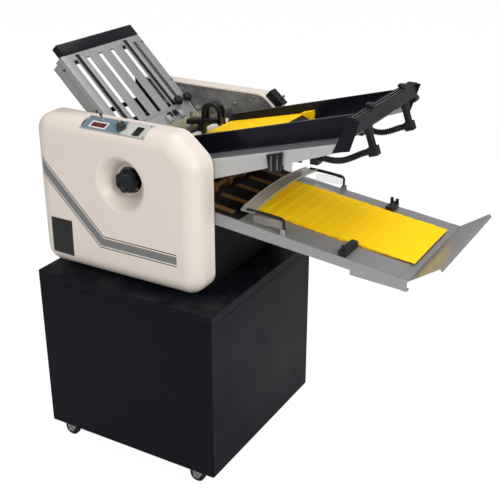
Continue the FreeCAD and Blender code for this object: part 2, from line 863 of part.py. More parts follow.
wide, tall = "(inlet_wide / 2 - inlet_wall)", "(inlet_tall / 2 - inlet_wall)"
opening = grown(wide, tall, "inlet_middle", "inlet_height")
body_loop = grown("(inlet_wide / 2)", "(inlet_tall / 2)", "inlet_middle", "inlet_height")
rim_loop = grown(
    "(inlet_wide / 2 + inlet_rim)",
    "(inlet_tall / 2 + inlet_rim)",
    "inlet_middle",
    "inlet_height",
)
ties.pad("YZ", [rim_loop, opening], f"{back_x} - inlet_rim_thick", back_x)
ties.pad("YZ", [body_loop, opening], back_x, f"{back_x} + inlet_deep")
ties.pad("YZ", [body_loop], f"{back_x} + inlet_deep", f"{back_x} + inlet_deep + inlet_wall")
for place in ("-1", "0", "1"):
    pin = grown(
        "inlet_pin_wide / 2",
        "inlet_pin_tall / 2",
        f"inlet_middle + {place} * inlet_pin_pitch",
        "inlet_height",
    )
    ties.pad("YZ", [pin], f"{back_x} + inlet_rim_thick", f"{back_x} + inlet_deep")


# Control panel: a plate on the sloping floor of the cover's recess. Its own X runs right,
# Y runs up the slope and ends at the back edge, and Z leaves the panel.
sizes(
    panel_thick=2.5,
    panel_margin=1,
    panel_wide="=panel_right - panel_left - 2 * panel_margin",
    panel_deep=60,
    counter_x=52,
    counter_y=-38,
    counter_wide=50,
    counter_deep=20,
    counter_frame=4,
    counter_rise=2,
    dial_x=126,
    dial_y=-32,
    dial_radius=15,
    dial_tall=16,
    dial_shoulder=4,
    dial_pin=4,
    toggle_x=45,
    toggle_y=-11,
    toggle_collar=7,
    toggle_collar_tall=4,
    toggle_ball=3.2,
    toggle_radius=3,
    toggle_tip=4.5,
    toggle_long=18,
    rocker_x=184,
    rocker_y=-36,
    rocker_wide=16,
    rocker_long=30,
    rocker_rim=3,
    rocker_rise=2,
    rocker_crown=3,
    rocker_taper=0.6,
)


def on_panel(piece, x, y, rise, axis=(1, 0, 0), angle="panel_slope"):
    along = f"panel_margin + ({x})"
    place_y = f"panel_back + ({y}) * cos(panel_slope) - ({rise}) * sin(panel_slope)"
    place_z = f"cover_top + ({y}) * sin(panel_slope) + ({rise}) * cos(panel_slope)"
    piece.place(f"panel_left + {along}", place_y, place_z, axis, angle)


def block(x_middle, x_wide, y_middle, y_wide):
    return rect(
        f"{x_middle} - ({x_wide}) / 2",
        f"{x_middle} + ({x_wide}) / 2",
        f"{y_middle} - ({y_wide}) / 2",
        f"{y_middle} + ({y_wide}) / 2",
    )


panel = Piece("control_panel")
rocker_hole = block("rocker_x", "rocker_wide + 2 * running", "rocker_y", "rocker_long + 2 * running")
panel_holes = [
    ("dial_x", "dial_y", "dial_pin + fit"),
    ("toggle_x", "toggle_y", "toggle_ball + fit"),
    rocker_hole,
]
panel.pad("XY", [rect("0", "panel_wide", "-panel_deep", "-panel_margin"), *panel_holes], "0", "panel_thick")
frame_outer = block(
    "counter_x",
    "counter_wide + 2 * counter_frame",
    "counter_y",
    "counter_deep + 2 * counter_frame",
)
frame_inner = block("counter_x", "counter_wide", "counter_y", "counter_deep")
panel.pad("XY", [frame_outer, frame_inner], "panel_thick", "panel_thick + counter_rise")
rocker_rim = block("rocker_x", "rocker_wide + 2 * rocker_rim", "rocker_y", "rocker_long + 2 * rocker_rim")
panel.pad("XY", [rocker_rim, rocker_hole], "panel_thick", "panel_thick + rocker_rise")
collar = [("toggle_x", "toggle_y", "toggle_collar"), ("toggle_x", "toggle_y", "toggle_ball + fit")]
panel.pad("XY", collar, "panel_thick", "panel_thick + toggle_collar_tall")
on_panel(panel, "0", "0", "0")

dial = Piece("speed_knob")
dial_profile = [
    ("0", "running - panel_thick"),
    ("dial_pin", "running - panel_thick"),
    ("dial_pin", "running"),
    ("dial_radius", "running"),
    ("dial_radius", "running + dial_shoulder"),
    ("dial_radius - dial_shoulder / 2", "running + dial_shoulder"),
    ("dial_radius - dial_shoulder", "dial_tall"),
    ("0", "dial_tall"),
]
dial.turn("Z", dial_profile, ("0", "0"))
on_panel(dial, "dial_x", "dial_y", "panel_thick")

toggle = Piece("panel_toggle")
ball_side = "toggle_ball * sqrt(3) / 2"
lever = [
    ("0", "-toggle_ball"),
    ("toggle_ball / 2", f"-{ball_side}"),
    (ball_side, "-toggle_ball / 2"),
    ("toggle_ball", "0"),
    (ball_side, "toggle_ball / 2"),
    ("toggle_ball / 2", ball_side),
    ("toggle_ball / 2", "toggle_long / 2"),
    ("toggle_tip", "toggle_long - toggle_radius"),
    ("toggle_radius", "toggle_long"),
    ("0", "toggle_long"),
]
toggle.turn("Z", lever, ("0", "0"))
on_panel(toggle, "toggle_x", "toggle_y", "panel_thick + toggle_collar_tall - toggle_radius")

rocker = Piece("power_rocker")
rocker_side = [
    ("-rocker_long / 2", "0"),
    ("0", "-panel_thick + running"),
    ("rocker_long / 2", "0"),
    ("rocker_long / 2 - rocker_taper", "rocker_rise + rocker_crown"),
    ("0", "rocker_rise"),
    ("-rocker_long / 2", "rocker_rise"),
]
rocker.pad("YZ", [rocker_side], "-rocker_wide / 2", "rocker_wide / 2")
on_panel(rocker, "rocker_x", "rocker_y", "panel_thick")

# Switch box on the slanted edge of the rear cover
sizes(
    box_start=8,
    box_long=58,
    box_tall=24,
    box_front=238,
    box_deep=32,
    box_lever_along=48,
    box_lever_radius=3,
    box_lever_long=16,
    box_lever_tip=5,
)


def on_chamfer(along, out):
    return (
        f"chamfer_left + (({along}) * chamfer_run + ({out}) * chamfer_rise) / chamfer_slant",
        f"cover_top + (({out}) * chamfer_run - ({along}) * chamfer_rise) / chamfer_slant",
    )


switch_box = Piece("rear_switch_box")
box_side = [
    on_chamfer("box_start", "0"),
    on_chamfer("box_start + box_long", "0"),
    on_chamfer("box_start + box_long", "box_tall"),
    on_chamfer("box_start", "box_tall"),
]
switch_box.pad("XZ", [box_side], "box_front", "box_front + box_deep")
lever_x, lever_z = on_chamfer("box_lever_along", "box_tall")
box_lever = Piece("rear_toggle")
box_lever_profile = [
    ("0", "running"),
    ("box_lever_radius", "box_lever_radius"),
    ("box_lever_radius", "box_lever_long - box_lever_tip"),
    ("box_lever_tip", "box_lever_long - box_lever_radius"),
    ("box_lever_radius", "box_lever_long"),
    ("0", "box_lever_long"),
]
box_lever.turn("Z", box_lever_profile, ("0", "0"))
box_lever.place(lever_x, "box_front + box_deep / 2", lever_z, (0, 1, 0), "asin(chamfer_rise / chamfer_slant)")

# Upper fold plate. Its own X points down the slope from the mouth, Y to the back and Z off the plate.
sizes(
    fold_x=-367.7,
    fold_z=1019.1,
    fold_slope=45,
    fold_long=268,
    fold_reach=78,
    fold_near=-177,
    fold_far=190,
    fold_sheet=2,
    fold_gap=4,
    fold_top_sheet=3,
    upper_side_tall=28,
    lower_side_tall=50,
    side_sheet=3,
    side_step=1,
    side_taper_start=122,
    lower_side_end=262,
    slot_top=247,
    slot_low=9,
    slot_wide=18,
    slot_pitch=56.5,
    slot_first=-133,
    rod_slot=12,
    rod_slot_top=262,
    rod_radius=5,
    rod_depth=17,
    rod_near=-113,
    rod_far=114,
    end_bar_wide=40,
    end_bar_tall=24,
    end_bar_proud=2,
    lug_x=24,
    lug_radius=9,
    tube_x=-30,
    tube_depth=40,
    tube_radius=7,
    latch_x=27,
    latch_long=26,
    latch_wide=18,
    latch_tall=9,
    latch_first=45,
    latch_pitch=65,
    plate_top="=-fold_top_sheet + fold_sheet",
    lower_sheet_top="=-fold_top_sheet - fold_gap",
    lower_sheet_low="=lower_sheet_top - fold_sheet",
)
fold_plate = Piece("fold_plate")
plate_slots = []
for number in range(5):
    slot_middle = f"(slot_first + {number} * slot_pitch)"
    plate_slots.append(
        rect("-slot_top", "-slot_low", f"{slot_middle} - slot_wide / 2", f"{slot_middle} + slot_wide / 2"),
    )
rods = ("rod_near", "rod_far")
plate_slots += [
    rect("-rod_slot_top", "-slot_low", f"{rod} - rod_slot / 2", f"{rod} + rod_slot / 2")
    for rod in rods
]
fold_plate.pad("XY", [rect("-fold_long", "0", "fold_near", "fold_far"), *plate_slots], "-fold_top_sheet", "0")
inside = ("fold_near + side_sheet + side_step", "fold_far - side_sheet - side_step")
fold_plate.pad("XY", [rect("-fold_long", "0", *inside), *plate_slots], "lower_sheet_low", "lower_sheet_top")
for low, high in (("-fold_top_sheet", "plate_top"), ("lower_sheet_low", "lower_sheet_top")):
    fold_plate.pad("XY", [rect("0", "fold_reach", *inside)], low, high)
upper_side = [
    ("-fold_long", "-upper_side_tall"),
    ("0", "-upper_side_tall"),
    ("fold_reach", "lower_sheet_low"),
    ("fold_reach", "plate_top"),
    ("0", "plate_top"),
    ("0", "-fold_top_sheet"),
    ("-fold_long", "-fold_top_sheet"),
]
lower_side = [
    ("-lower_side_end", "-lower_side_tall"),
    ("-side_taper_start", "-lower_side_tall"),
    ("0", "-upper_side_tall"),
    ("-lower_side_end", "-upper_side_tall"),
]
for outline, inset in ((upper_side, "0"), (lower_side, "side_step")):
    fold_plate.pad("XZ", [outline], f"fold_near + {inset}", f"fold_near + {inset} + side_sheet")
    fold_plate.pad("XZ", [outline], f"fold_far - {inset} - side_sheet", f"fold_far - {inset}")
fold_plate.pad("XZ", [("tube_x", "-tube_depth", "tube_radius")], *inside)
lug = ("lug_x", "-upper_side_tall / 2", "lug_radius")
fold_plate.pad("XZ", [lug], "front_frame_in", "fold_near + side_sheet")
fold_plate.pad("XZ", [lug], "fold_far - side_sheet", "rear_frame_in")
for number in range(2):
    latch = block("latch_x", "latch_long", f"latch_first + {number} * latch_pitch", "latch_wide")
    fold_plate.pad("XY", [latch], "plate_top", "latch_tall")


def on_fold(piece, up_plate="0"):
    x, z = f"fold_x - {up_plate} * cos(fold_slope)", f"fold_z + {up_plate} * sin(fold_slope)"
    piece.place(x, "0", z, (0, 1, 0), "fold_slope")


on_fold(fold_plate)

end_bar = Piece("fold_plate_end_bar")
bar_outline = rect("-fold_long - end_bar_wide", "-fold_long", "fold_near", "fold_far - side_step")
end_bar.pad("XY", [bar_outline], "end_bar_proud - end_bar_tall", "end_bar_proud")
end_bar.chamfer("end_bar_proud", [("-fold_long - end_bar_wide", "0", "end_bar_proud")])
for rod in rods:
    end_bar.pad("YZ", [(rod, "-rod_depth", "rod_radius")], "-fold_long - end_bar_proud", "-slot_low")
on_fold(end_bar)

# The stop slides on the two rods and closes the gap between the plate's sheets
sizes(
    stop_rest=254,
    stop_wide=12,
    stop_bar=3.4,
    carriage_half=9,
    carriage_long=20,
    carriage_low=26,
    stop_tab=8,
    stop_low="=-fold_top_sheet - fold_gap / 2 - stop_bar / 2",
    carriage_top="=lower_sheet_low - running",
)
fold_stop = Piece("fold_stop")
stop_outline = rect(
    "-stop_wide / 2",
    "stop_wide / 2",
    "fold_near + side_sheet + running",
    "fold_far - side_sheet - running",
)
fold_stop.pad("XY", [stop_outline], "stop_low", "stop_low + stop_bar")
for rod in rods:
    carriage = rect(f"{rod} - carriage_half", f"{rod} + carriage_half", "-carriage_low", "carriage_top")
    bore = (rod, "-rod_depth", "rod_radius + fit")
    fold_stop.pad("YZ", [carriage, bore], "-carriage_long / 2", "carriage_long / 2")
    tab = rect(f"{rod} - stop_tab / 2", f"{rod} + stop_tab / 2", "carriage_top", "stop_low")
    fold_stop.pad("YZ", [tab], "-stop_wide / 2", "stop_wide / 2")
on_fold(fold_stop, "stop_rest")

# Two clamping knobs and a clear guide at the mouth of the plate
sizes(
    clamp_x=-14,
    clamp_first=130,
    clamp_pitch=48,
    clamp_radius=12,
    clamp_tall=20,
    clamp_edge=3,
    guide_x=42,
    guide_long=34,
    guide_near=-60,
    guide_far=205,
    guide_thick=2,
    guide_leg=4,
    guide_leg_wide=14,
)
clamp_middles = [("clamp_x", f"clamp_first + {number} * clamp_pitch") for number in range(2)]
for number, middle in enumerate(clamp_middles, 1):
    knob = Piece(f"plate_knob_{number}")
    wing = [
        ("0", "running"),
        ("clamp_radius", "running"),
        ("clamp_radius", "clamp_tall - clamp_edge"),
        ("clamp_radius - clamp_edge", "clamp_tall"),
        ("0", "clamp_tall"),
    ]
    knob.turn("Z", wing, middle)
    on_fold(knob)

guide = Piece("infeed_guide")
guide.pad(
    "XY",
    [rect("guide_x", "guide_x + guide_long", "guide_near", "guide_far")],
    "guide_leg",
    "guide_leg + guide_thick",
)
for low in ("guide_near", "fold_far - side_sheet - side_step - guide_leg_wide"):
    leg = rect("guide_x", "guide_x + guide_long / 2", low, f"{low} + guide_leg_wide")
    guide.pad("XY", [leg], "plate_top", "guide_leg")
on_fold(guide)

# Lower fold plate behind the nip of rollers 2 and 3, lying along that nip
sizes(
    lower_start=-18,
    lower_long=258,
    lower_sheet=1.5,
    lower_gap=3,
    lower_side_wide=8,
    lower_slot_low=-235,
    lower_slot_high=-50,
    lower_slot_wide=8,
    lower_stop_rest=-190,
    lower_stop_wide=10,
    lower_stop_thick=2.4,
    lower_tab=6,
    lower_tab_long=10,
    lower_knob_radius=10,
    lower_knob_tall=9,
    lower_end="=lower_start - lower_long",
    lower_low="=-lower_gap / 2 - lower_sheet",
    second_nip_x="=(handwheel_x + roller_two_x) / 2",
    second_nip_z="=(handwheel_z + roller_two_z) / 2",
)


def on_second_nip(piece):
    piece.place("second_nip_x", "0", "second_nip_z", (0, 1, 0), "90 - second_nip")


lower_plate = Piece("lower_fold_plate")
lower_outline = rect("lower_end", "lower_start", "front_frame_in", "rear_frame_in")
lower_slot = rect(
    "lower_slot_low",
    "lower_slot_high",
    "paper_middle - lower_slot_wide / 2",
    "paper_middle + lower_slot_wide / 2",
)
lower_plate.pad("XY", [lower_outline, lower_slot], "lower_low", "-lower_gap / 2")
lower_plate.pad("XY", [lower_outline], "lower_gap / 2", "-lower_low")
for low, high in (
    ("front_frame_in", "front_frame_in + lower_side_wide"),
    ("rear_frame_in - lower_side_wide", "rear_frame_in"),
):
    lower_plate.pad("XY", [rect("lower_end", "lower_start", low, high)], "-lower_gap / 2", "lower_gap / 2")
closing = rect("lower_end", "lower_end + lower_side_wide", "front_frame_in", "rear_frame_in")
lower_plate.pad("XY", [closing], "-lower_gap / 2", "lower_gap / 2")
on_second_nip(lower_plate)

lower_stop = Piece("lower_fold_stop")
stop_sides = ("front_frame_in + lower_side_wide + running", "rear_frame_in - lower_side_wide - running")
stop_outline = rect("lower_stop_rest", "lower_stop_rest + lower_stop_wide", *stop_sides)
lower_stop.pad("XY", [stop_outline], "-lower_stop_thick / 2", "lower_stop_thick / 2")
stop_middle = "lower_stop_rest + lower_stop_wide / 2"
tab = block(stop_middle, "lower_tab", "paper_middle", "lower_tab")
lower_stop.pad("XY", [tab], "lower_low - lower_tab_long", "-lower_stop_thick / 2")
knob_circle = (stop_middle, "paper_middle", "lower_knob_radius")
lower_stop.pad(
    "XY",
    [knob_circle],
    "lower_low - lower_tab_long - lower_knob_tall",
    "lower_low - lower_tab_long",
)
on_second_nip(lower_stop)

# Feed table: a sheet between two side rails, rising to the right
sizes(
    table_x=-51,
    table_z=993.7,
    table_slope=15.4,
    table_left=-215,
    table_right=325,
    table_near=-177,
    table_far=229,
    table_sheet=2,
    rail_sheet=2.5,
    rail_tall_left=57,
    rail_tall_middle=43,
    rail_tall_right=22,
    rail_middle=114,
    bracket_left=-120,
    bracket_right=-75,
    bracket_drop=18,
    bracket_tall=26,
    hook_left=114,
    hook_right=158,
    hook_top_drop=4,
    hook_low_drop=55,
    hook_thick=9,
    hook_taper=8,
)


def on_table(x, up="0"):
    return (x, f"table_z + (({x}) - table_x) * tan(table_slope) + {up}")


def table_strip(left, right, low, high):
    return [on_table(left, low), on_table(right, low), on_table(right, high), on_table(left, high)]


table = Piece("feed_table")
table.pad("XZ", [table_strip("table_left", "table_right", "-table_sheet", "0")], "table_near", "table_far")
rail = [
    on_table("table_left", "-rail_tall_left"),
    on_table("table_x", "-rail_tall_left"),
    on_table("rail_middle", "-rail_tall_middle"),
    on_table("table_right", "-rail_tall_right"),
    on_table("table_right", "-table_sheet / 2"),
    on_table("table_left", "-table_sheet / 2"),
]
table.pad("XZ", [rail], "table_near", "table_near + rail_sheet")
table.pad("XZ", [rail], "table_far - rail_sheet", "table_far")
bracket = table_strip("bracket_left", "bracket_right", "-bracket_drop - bracket_tall", "-bracket_drop")
table.pad("XZ", [bracket], "front_frame_in", "table_near")
table.pad("XZ", [bracket], "table_far", "rear_frame_in")
hook = [
    on_table("hook_left + hook_taper", "-hook_low_drop"),
    on_table("hook_right - hook_taper / 2", "-hook_low_drop"),
    on_table("hook_right", "-hook_top_drop"),
    on_table("hook_left", "-hook_top_drop"),
]
table.pad("XZ", [hook], "table_near - hook_thick", "table_near")

# Side guides stand on the table and hang by a lock knob from the slotted beam
sizes(
    guide_left=-206,
    guide_right=326,
    guide_tall=55,
    guide_sheet=2.5,
    guide_hem=4,
    guide_hem_tall=3,
    guide_foot=15,
    near_guide_face=-93,
    far_guide_face=171,
    beam_left=332,
    beam_right=357,
    beam_top=1163,
    beam_tall=40,
    beam_wall=3,
    beam_slot=7,
    beam_slot_near=-165,
    beam_slot_far=215,
    beam_groove=2,
    beam_groove_wide=3,
    arm_sheet=3,
    tab_thick=3,
    tab_half=9,
    window_low=1134,
    window_tall=10,
    stud_radius=3,
    lock_radius=12,
    lock_tall=13,
    lock_washer=8,
    lock_washer_tall=3,
    lock_edge=3,
    lock_inset=24,
    beam_low="=beam_top - beam_tall",
    beam_middle="=(beam_left + beam_right) / 2",
    tongue_low="=window_low + (window_tall - tab_thick) / 2",
)


def side_guide(label, face, side):
    def beyond(out):
        return f"{face} {side} ({out})"

    def between(near, far):
        return (near, far) if side == "+" else (far, near)

    piece = Piece(label)
    wall = table_strip("guide_left", "guide_right", "running", "guide_tall")
    piece.pad("XZ", [wall], *between(face, beyond("guide_sheet")))
    foot = table_strip("guide_left", "guide_right", "running", "running + guide_sheet")
    piece.pad("XZ", [foot], *between(face, beyond("guide_foot")))
    hem = table_strip("guide_left", "guide_right", "guide_tall - guide_hem_tall", "guide_tall")
    piece.pad("XZ", [hem], *between(face, beyond("guide_hem")))
    inner = f"{face} {'-' if side == '+' else '+'} (lock_inset + tab_half)"
    tongue_right = "beam_right - beam_wall - running"
    tongue = rect("guide_right - guide_sheet", tongue_right, "tongue_low", "tongue_low + tab_thick")
    piece.pad("XZ", [tongue], *between(inner, beyond("guide_sheet")))
    stud = ("beam_middle", f"{face} {'-' if side == '+' else '+'} lock_inset", "stud_radius")
    piece.pad("XY", [stud], "tongue_low", "beam_top + lock_washer_tall")
    return stud


near_stud = side_guide("near_side_guide", "near_guide_face", "-")
far_stud = side_guide("far_side_guide", "far_guide_face", "+")

beam = Piece("feed_beam")
beam_outer = rect("beam_left", "beam_right", "table_near", "table_far")
slot = rect("beam_middle - beam_slot / 2", "beam_middle + beam_slot / 2", "beam_slot_near", "beam_slot_far")
beam.pad("XY", [beam_outer, slot], "beam_low", "beam_top")
for edge in ("beam_left + beam_wall", "beam_right - beam_wall - beam_groove_wide"):
    groove = rect(edge, f"{edge} + beam_groove_wide", "beam_slot_near", "beam_slot_far")
    beam.cut("XY", [groove], "beam_top - beam_groove", "beam_top + overrun")
beam.cut(
    "XY",
    [
        rect(
            "beam_left + beam_wall",
            "beam_right - beam_wall",
            "table_near + beam_wall",
            "table_far - beam_wall",
        ),
    ],
    "beam_low - overrun",
    "beam_top - beam_wall - beam_groove",
)
window = rect("beam_slot_near", "beam_slot_far", "window_low", "window_low + window_tall")
beam.cut("YZ", [window], "beam_left - overrun", "beam_left + beam_wall")
sizes(
    arm_right_reach=10,
    arm_foot_right=342,
    arm_foot_right_height=1079,
    arm_foot_left=296,
    arm_foot_left_height=1068,
    arm_knee=318,
    arm_knee_height=1118,
)
arm = [
    ("beam_left + 2 * beam_wall", "beam_top - beam_wall"),
    ("beam_right + arm_right_reach", "beam_top - beam_wall"),
    ("arm_foot_right", "arm_foot_right_height"),
    ("arm_foot_left", "arm_foot_left_height"),
    ("arm_knee", "arm_knee_height"),
]
beam.pad("XZ", [arm], "table_near - arm_sheet", "table_near")
beam.pad("XZ", [arm], "table_far", "table_far + arm_sheet")

for label, stud in (("near_guide_knob", near_stud), ("far_guide_knob", far_stud)):
    lock = Piece(label)
    lock_profile = [
        ("stud_radius + fit", "beam_top"),
        ("lock_washer", "beam_top"),
        ("lock_washer", "beam_top + lock_washer_tall"),
        ("lock_radius", "beam_top + lock_washer_tall"),
        ("lock_radius", "beam_top + lock_tall - lock_edge"),
        ("lock_radius - lock_edge", "beam_top + lock_tall"),
        ("0", "beam_top + lock_tall"),
        ("0", "beam_top + lock_washer_tall + running"),
        ("stud_radius + fit", "beam_top + lock_washer_tall + running"),
    ]
    lock.turn("Z", lock_profile, (stud[0], stud[1]))

sizes(
    valve_x=346,
    valve_z=1112,
    valve_radius=10,
    valve_long=24,
    valve_neck=4,
    valve_gap=7,
)
valve = Piece("air_valve_knob")
valve_profile = [
    ("0", "table_far + arm_sheet + running"),
    ("valve_neck", "table_far + arm_sheet + running"),
    ("valve_neck", "table_far + arm_sheet + valve_gap"),
    ("valve_radius", "table_far + arm_sheet + valve_gap"),
    ("valve_radius", "table_far + arm_sheet + valve_gap + valve_long - valve_neck"),
    ("valve_radius - valve_neck / 2", "table_far + arm_sheet + valve_gap + valve_long"),
    ("0", "table_far + arm_sheet + valve_gap + valve_long"),
]
valve.turn("Y", valve_profile, ("valve_x", "valve_z"))

# Separator over the feed roller: a bar between the frames and the arm that hangs on it
sizes(
    bar_left=-268,
    bar_right=-243,
    bar_low_height=985,
    bar_rise=10,
    bar_thick=12,
    post_x=-255,
    separator_post=4,
    post_top=1046,
    leg_inset=8,
    arm_near=12,
    arm_far=40,
    arch_left=-212,
    arch_right=-143,
    arch_top=1084,
    arch_shoulder=16,
    arch_hole_x=-180,
    arch_hole_z=1051,
    arch_hole_radius=15,
    block_left=-264,
    block_low=1007.3,
    block_right=-146,
    block_right_low=1026,
    block_tall=15,
    leg_left=-239,
    leg_right=-230,
    leg_low=948,
)
separator_bar = Piece("separator_bar")
bar_side = [
    ("bar_left", "bar_low_height"),
    ("bar_right", "bar_low_height + bar_rise"),
    ("bar_right", "bar_low_height + bar_rise + bar_thick"),
    ("bar_left", "bar_low_height + bar_thick"),
]
separator_bar.pad("XZ", [bar_side], "front_frame_in", "rear_frame_in")
post_y = "(arm_near + arm_far) / 2"
separator_bar.pad("XY", [("post_x", post_y, "separator_post")], "bar_low_height + bar_thick / 2", "post_top")

separator = Piece("separator_arm")
arch = [
    ("arch_left", "block_right_low"),
    ("arch_right", "block_right_low"),
    ("arch_right", "arch_top - arch_shoulder"),
    ("arch_right - arch_shoulder", "arch_top"),
    ("arch_left + arch_shoulder / 2", "arch_top"),
    ("arch_left", "arch_top - arch_shoulder / 2"),
]
arch_hole = ("arch_hole_x", "arch_hole_z", "arch_hole_radius")
separator.pad("XZ", [arch, arch_hole], "arm_near", "arm_far")
arm_block = [
    ("block_left", "block_low"),
    ("block_right", "block_right_low"),
    ("block_right", "block_right_low + block_tall"),
    ("block_left", "block_low + block_tall"),
]
separator.pad("XZ", [arm_block], "arm_near", "arm_far")
leg = rect("leg_left", "leg_right", "leg_low", "block_low + block_tall / 2")
separator.pad("XZ", [leg], "arm_near + leg_inset", "arm_far - leg_inset")
separator.cut("XY", [("post_x", post_y, "separator_post + fit")], "block_low - overrun", "arch_top")

# Stop plate across the low end of the table, and the stack of sheets with its tail on a wedge
sizes(
    lead_x=-215,
    lead_sheet=2,
    lead_low=944,
    lead_top=991,
    lead_lip=13,
    lead_near=-92,
    lead_far=170,
    stack_left=-206,
    stack_thick=6,
    stack_near=-91,
    stack_far=169,
    lift_start=0,
    lift_end=46,
    lift_tail=78,
    lift_tall=30,
    tail_thick=4,
    wedge_left=8,
    wedge_right=70,
    wedge_near=-62,
    wedge_far=140,
)
lead = Piece("feed_lead_plate")
lead.pad("XZ", [rect("lead_x - lead_sheet", "lead_x", "lead_low", "lead_top")], "lead_near", "lead_far")
lead.pad(
    "XZ",
    [rect("lead_x - lead_lip", "lead_x", "lead_top - lead_sheet", "lead_top")],
    "lead_near",
    "lead_far",
)

stack = Piece("feed_stack")
stack_side = [
    on_table("stack_left"),
    on_table("lift_start"),
    on_table("lift_end", "lift_tall"),
    on_table("lift_tail", "lift_tall"),
    on_table("lift_tail", "lift_tall + tail_thick"),
    on_table("lift_end", "lift_tall + tail_thick"),
    on_table("lift_start", "stack_thick"),
    on_table("stack_left", "stack_thick"),
]
stack.pad("XZ", [stack_side], "stack_near", "stack_far")
stack_wedge = [
    on_table("wedge_left"),
    on_table("wedge_right"),
    on_table("wedge_right", "lift_tall"),
    on_table("lift_end", "lift_tall"),
    on_table("wedge_left", "lift_tall * (wedge_left - lift_start) / (lift_end - lift_start)"),
]
stack.pad("XZ", [stack_wedge], "wedge_near", "wedge_far")

# Delivery tray, sloping down to the right, with its slide-out extension and end stop
sizes(
    tray_x=-51,
    tray_z=838,
    tray_slope=7,
    tray_left=-272,
    tray_right=490,
    tray_near=-177,
    tray_far=227,
    tray_sheet=1.5,
    tray_flange=36,
    tray_flange_right=24,
    outer_left=358,
    outer_right=515,
    outer_flange_left=40,
    outer_flange_right=30,
    stop_slope=34,
    stop_long=100,
    stop_lip=9,
    tray_pin_radius=5,
    tray_pin_x=-110,
)


def on_tray(x, up="0"):
    return (x, f"tray_z - (({x}) - tray_x) * tan(tray_slope) + {up}")


def tray_strip(left, right, low, high):
    return [on_tray(left, low), on_tray(right, low), on_tray(right, high), on_tray(left, high)]


tray = Piece("delivery_tray")
tray.pad("XZ", [tray_strip("tray_left", "tray_right", "-tray_sheet", "0")], "tray_near", "tray_far")
flange = [
    on_tray("tray_left", "-tray_flange"),
    on_tray("tray_x", "-tray_flange"),
    on_tray("tray_right", "-tray_flange_right"),
    on_tray("tray_right", "-tray_sheet / 2"),
    on_tray("tray_left", "-tray_sheet / 2"),
]
tray.pad("XZ", [flange], "tray_near", "tray_near + tray_sheet")
tray.pad("XZ", [flange], "tray_far - tray_sheet", "tray_far")
pin_x, pin_z = on_tray("tray_pin_x", "-tray_flange / 2")
tray.pad("XZ", [(pin_x, pin_z, "tray_pin_radius")], "front_frame_in", "tray_near")
tray.pad("XZ", [(pin_x, pin_z, "tray_pin_radius")], "tray_far", "rear_frame_in")

outer_top = "-tray_sheet - running"
extension = Piece("tray_extension")
outer_near, outer_far = "tray_near - running - tray_sheet", "tray_far + running + tray_sheet"
floor = tray_strip("outer_left", "outer_right", f"{outer_top} - tray_sheet", outer_top)
extension.pad("XZ", [floor], "tray_near + tray_sheet + running", "tray_far - tray_sheet - running")
outer_flange = [
    on_tray("outer_left", "-outer_flange_left"),
    on_tray("outer_right", "-outer_flange_right"),
    on_tray("outer_right", "0"),
    on_tray("outer_left", "0"),
]
for low, high in ((outer_near, "tray_near - running"), ("tray_far + running", outer_far)):
    extension.pad("XZ", [outer_flange], low, high)
hem = tray_strip("outer_left", "outer_right", "-outer_flange_right - tray_sheet", "-outer_flange_right")
for low, high in ((outer_near, "tray_near + 2 * stop_lip"), ("tray_far - 2 * stop_lip", outer_far)):
    extension.pad("XZ", [hem], low, high)
stop_foot_x, stop_foot_z = on_tray("outer_right", f"{outer_top} - tray_sheet")


def on_stop(along, out):
    return (
        f"{stop_foot_x} + ({along}) * cos(stop_slope) - ({out}) * sin(stop_slope)",
        f"{stop_foot_z} + ({along}) * sin(stop_slope) + ({out}) * cos(stop_slope)",
    )


stop_side = [
    on_stop("0", "0"),
    on_stop("stop_long - tray_sheet", "0"),
    on_stop("stop_long - tray_sheet", "-stop_lip"),
    on_stop("stop_long", "-stop_lip"),
    on_stop("stop_long", "tray_sheet"),
    on_stop("0", "tray_sheet"),
]
extension.pad("XZ", [stop_side], outer_near, outer_far)

# Folded sheets lying shingled on the tray
sizes(
    sheets_left=-10,
    sheets_right=500,
    sheets_near=-90,
    sheets_far=169,
    sheets_pitch=34,
    sheets_low=3,
    sheets_high=7,
    sheets_thick=0.6,
)
sheets = Piece("folded_sheets")
sheet_steps = "floor((sheets_right - sheets_left) / sheets_pitch)"
shingle = [on_tray("sheets_left")]
step_count = int(size(sheet_steps))
shingle.append(on_tray(f"sheets_left + {step_count} * sheets_pitch"))
for number in range(step_count, 0, -1):
    shingle.append(on_tray(f"sheets_left + {number} * sheets_pitch", "sheets_low"))
    shingle.append(on_tray(f"sheets_left + {number - 1} * sheets_pitch + sheets_thick", "sheets_high"))
shingle.append(on_tray("sheets_left", "sheets_low"))
sheets.pad("XZ", [shingle], "sheets_near", "sheets_far")

# Black guides beside the folded sheets, each with thumbscrews at its outer end
sizes(
    near_block_left=320,
    far_block_left=310,
    block_wide=22,
    block_high=16,
    block_edge=3,
    near_block_end=-172,
    near_block_tip=-91,
    far_block_tip=170,
    far_block_end=222,
    screw_radius=5,
    screw_tall=12,
    screw_inset=9,
)


def tray_block(label, left, low, high, screws):
    piece = Piece(label)
    right = f"{left} + block_wide"
    side = [
        on_tray(left, "running"),
        on_tray(right, "running"),
        on_tray(right, "block_high - block_edge"),
        on_tray(f"{right} - block_edge", "block_high"),
        on_tray(f"{left} + block_edge", "block_high"),
        on_tray(left, "block_high - block_edge"),
    ]
    piece.pad("XZ", [side], low, high)
    for x, y in screws:
        top = on_tray(x, "block_high")[1]
        piece.pad("XY", [(x, y, "screw_radius")], f"{top} - block_edge", f"{top} + screw_tall")


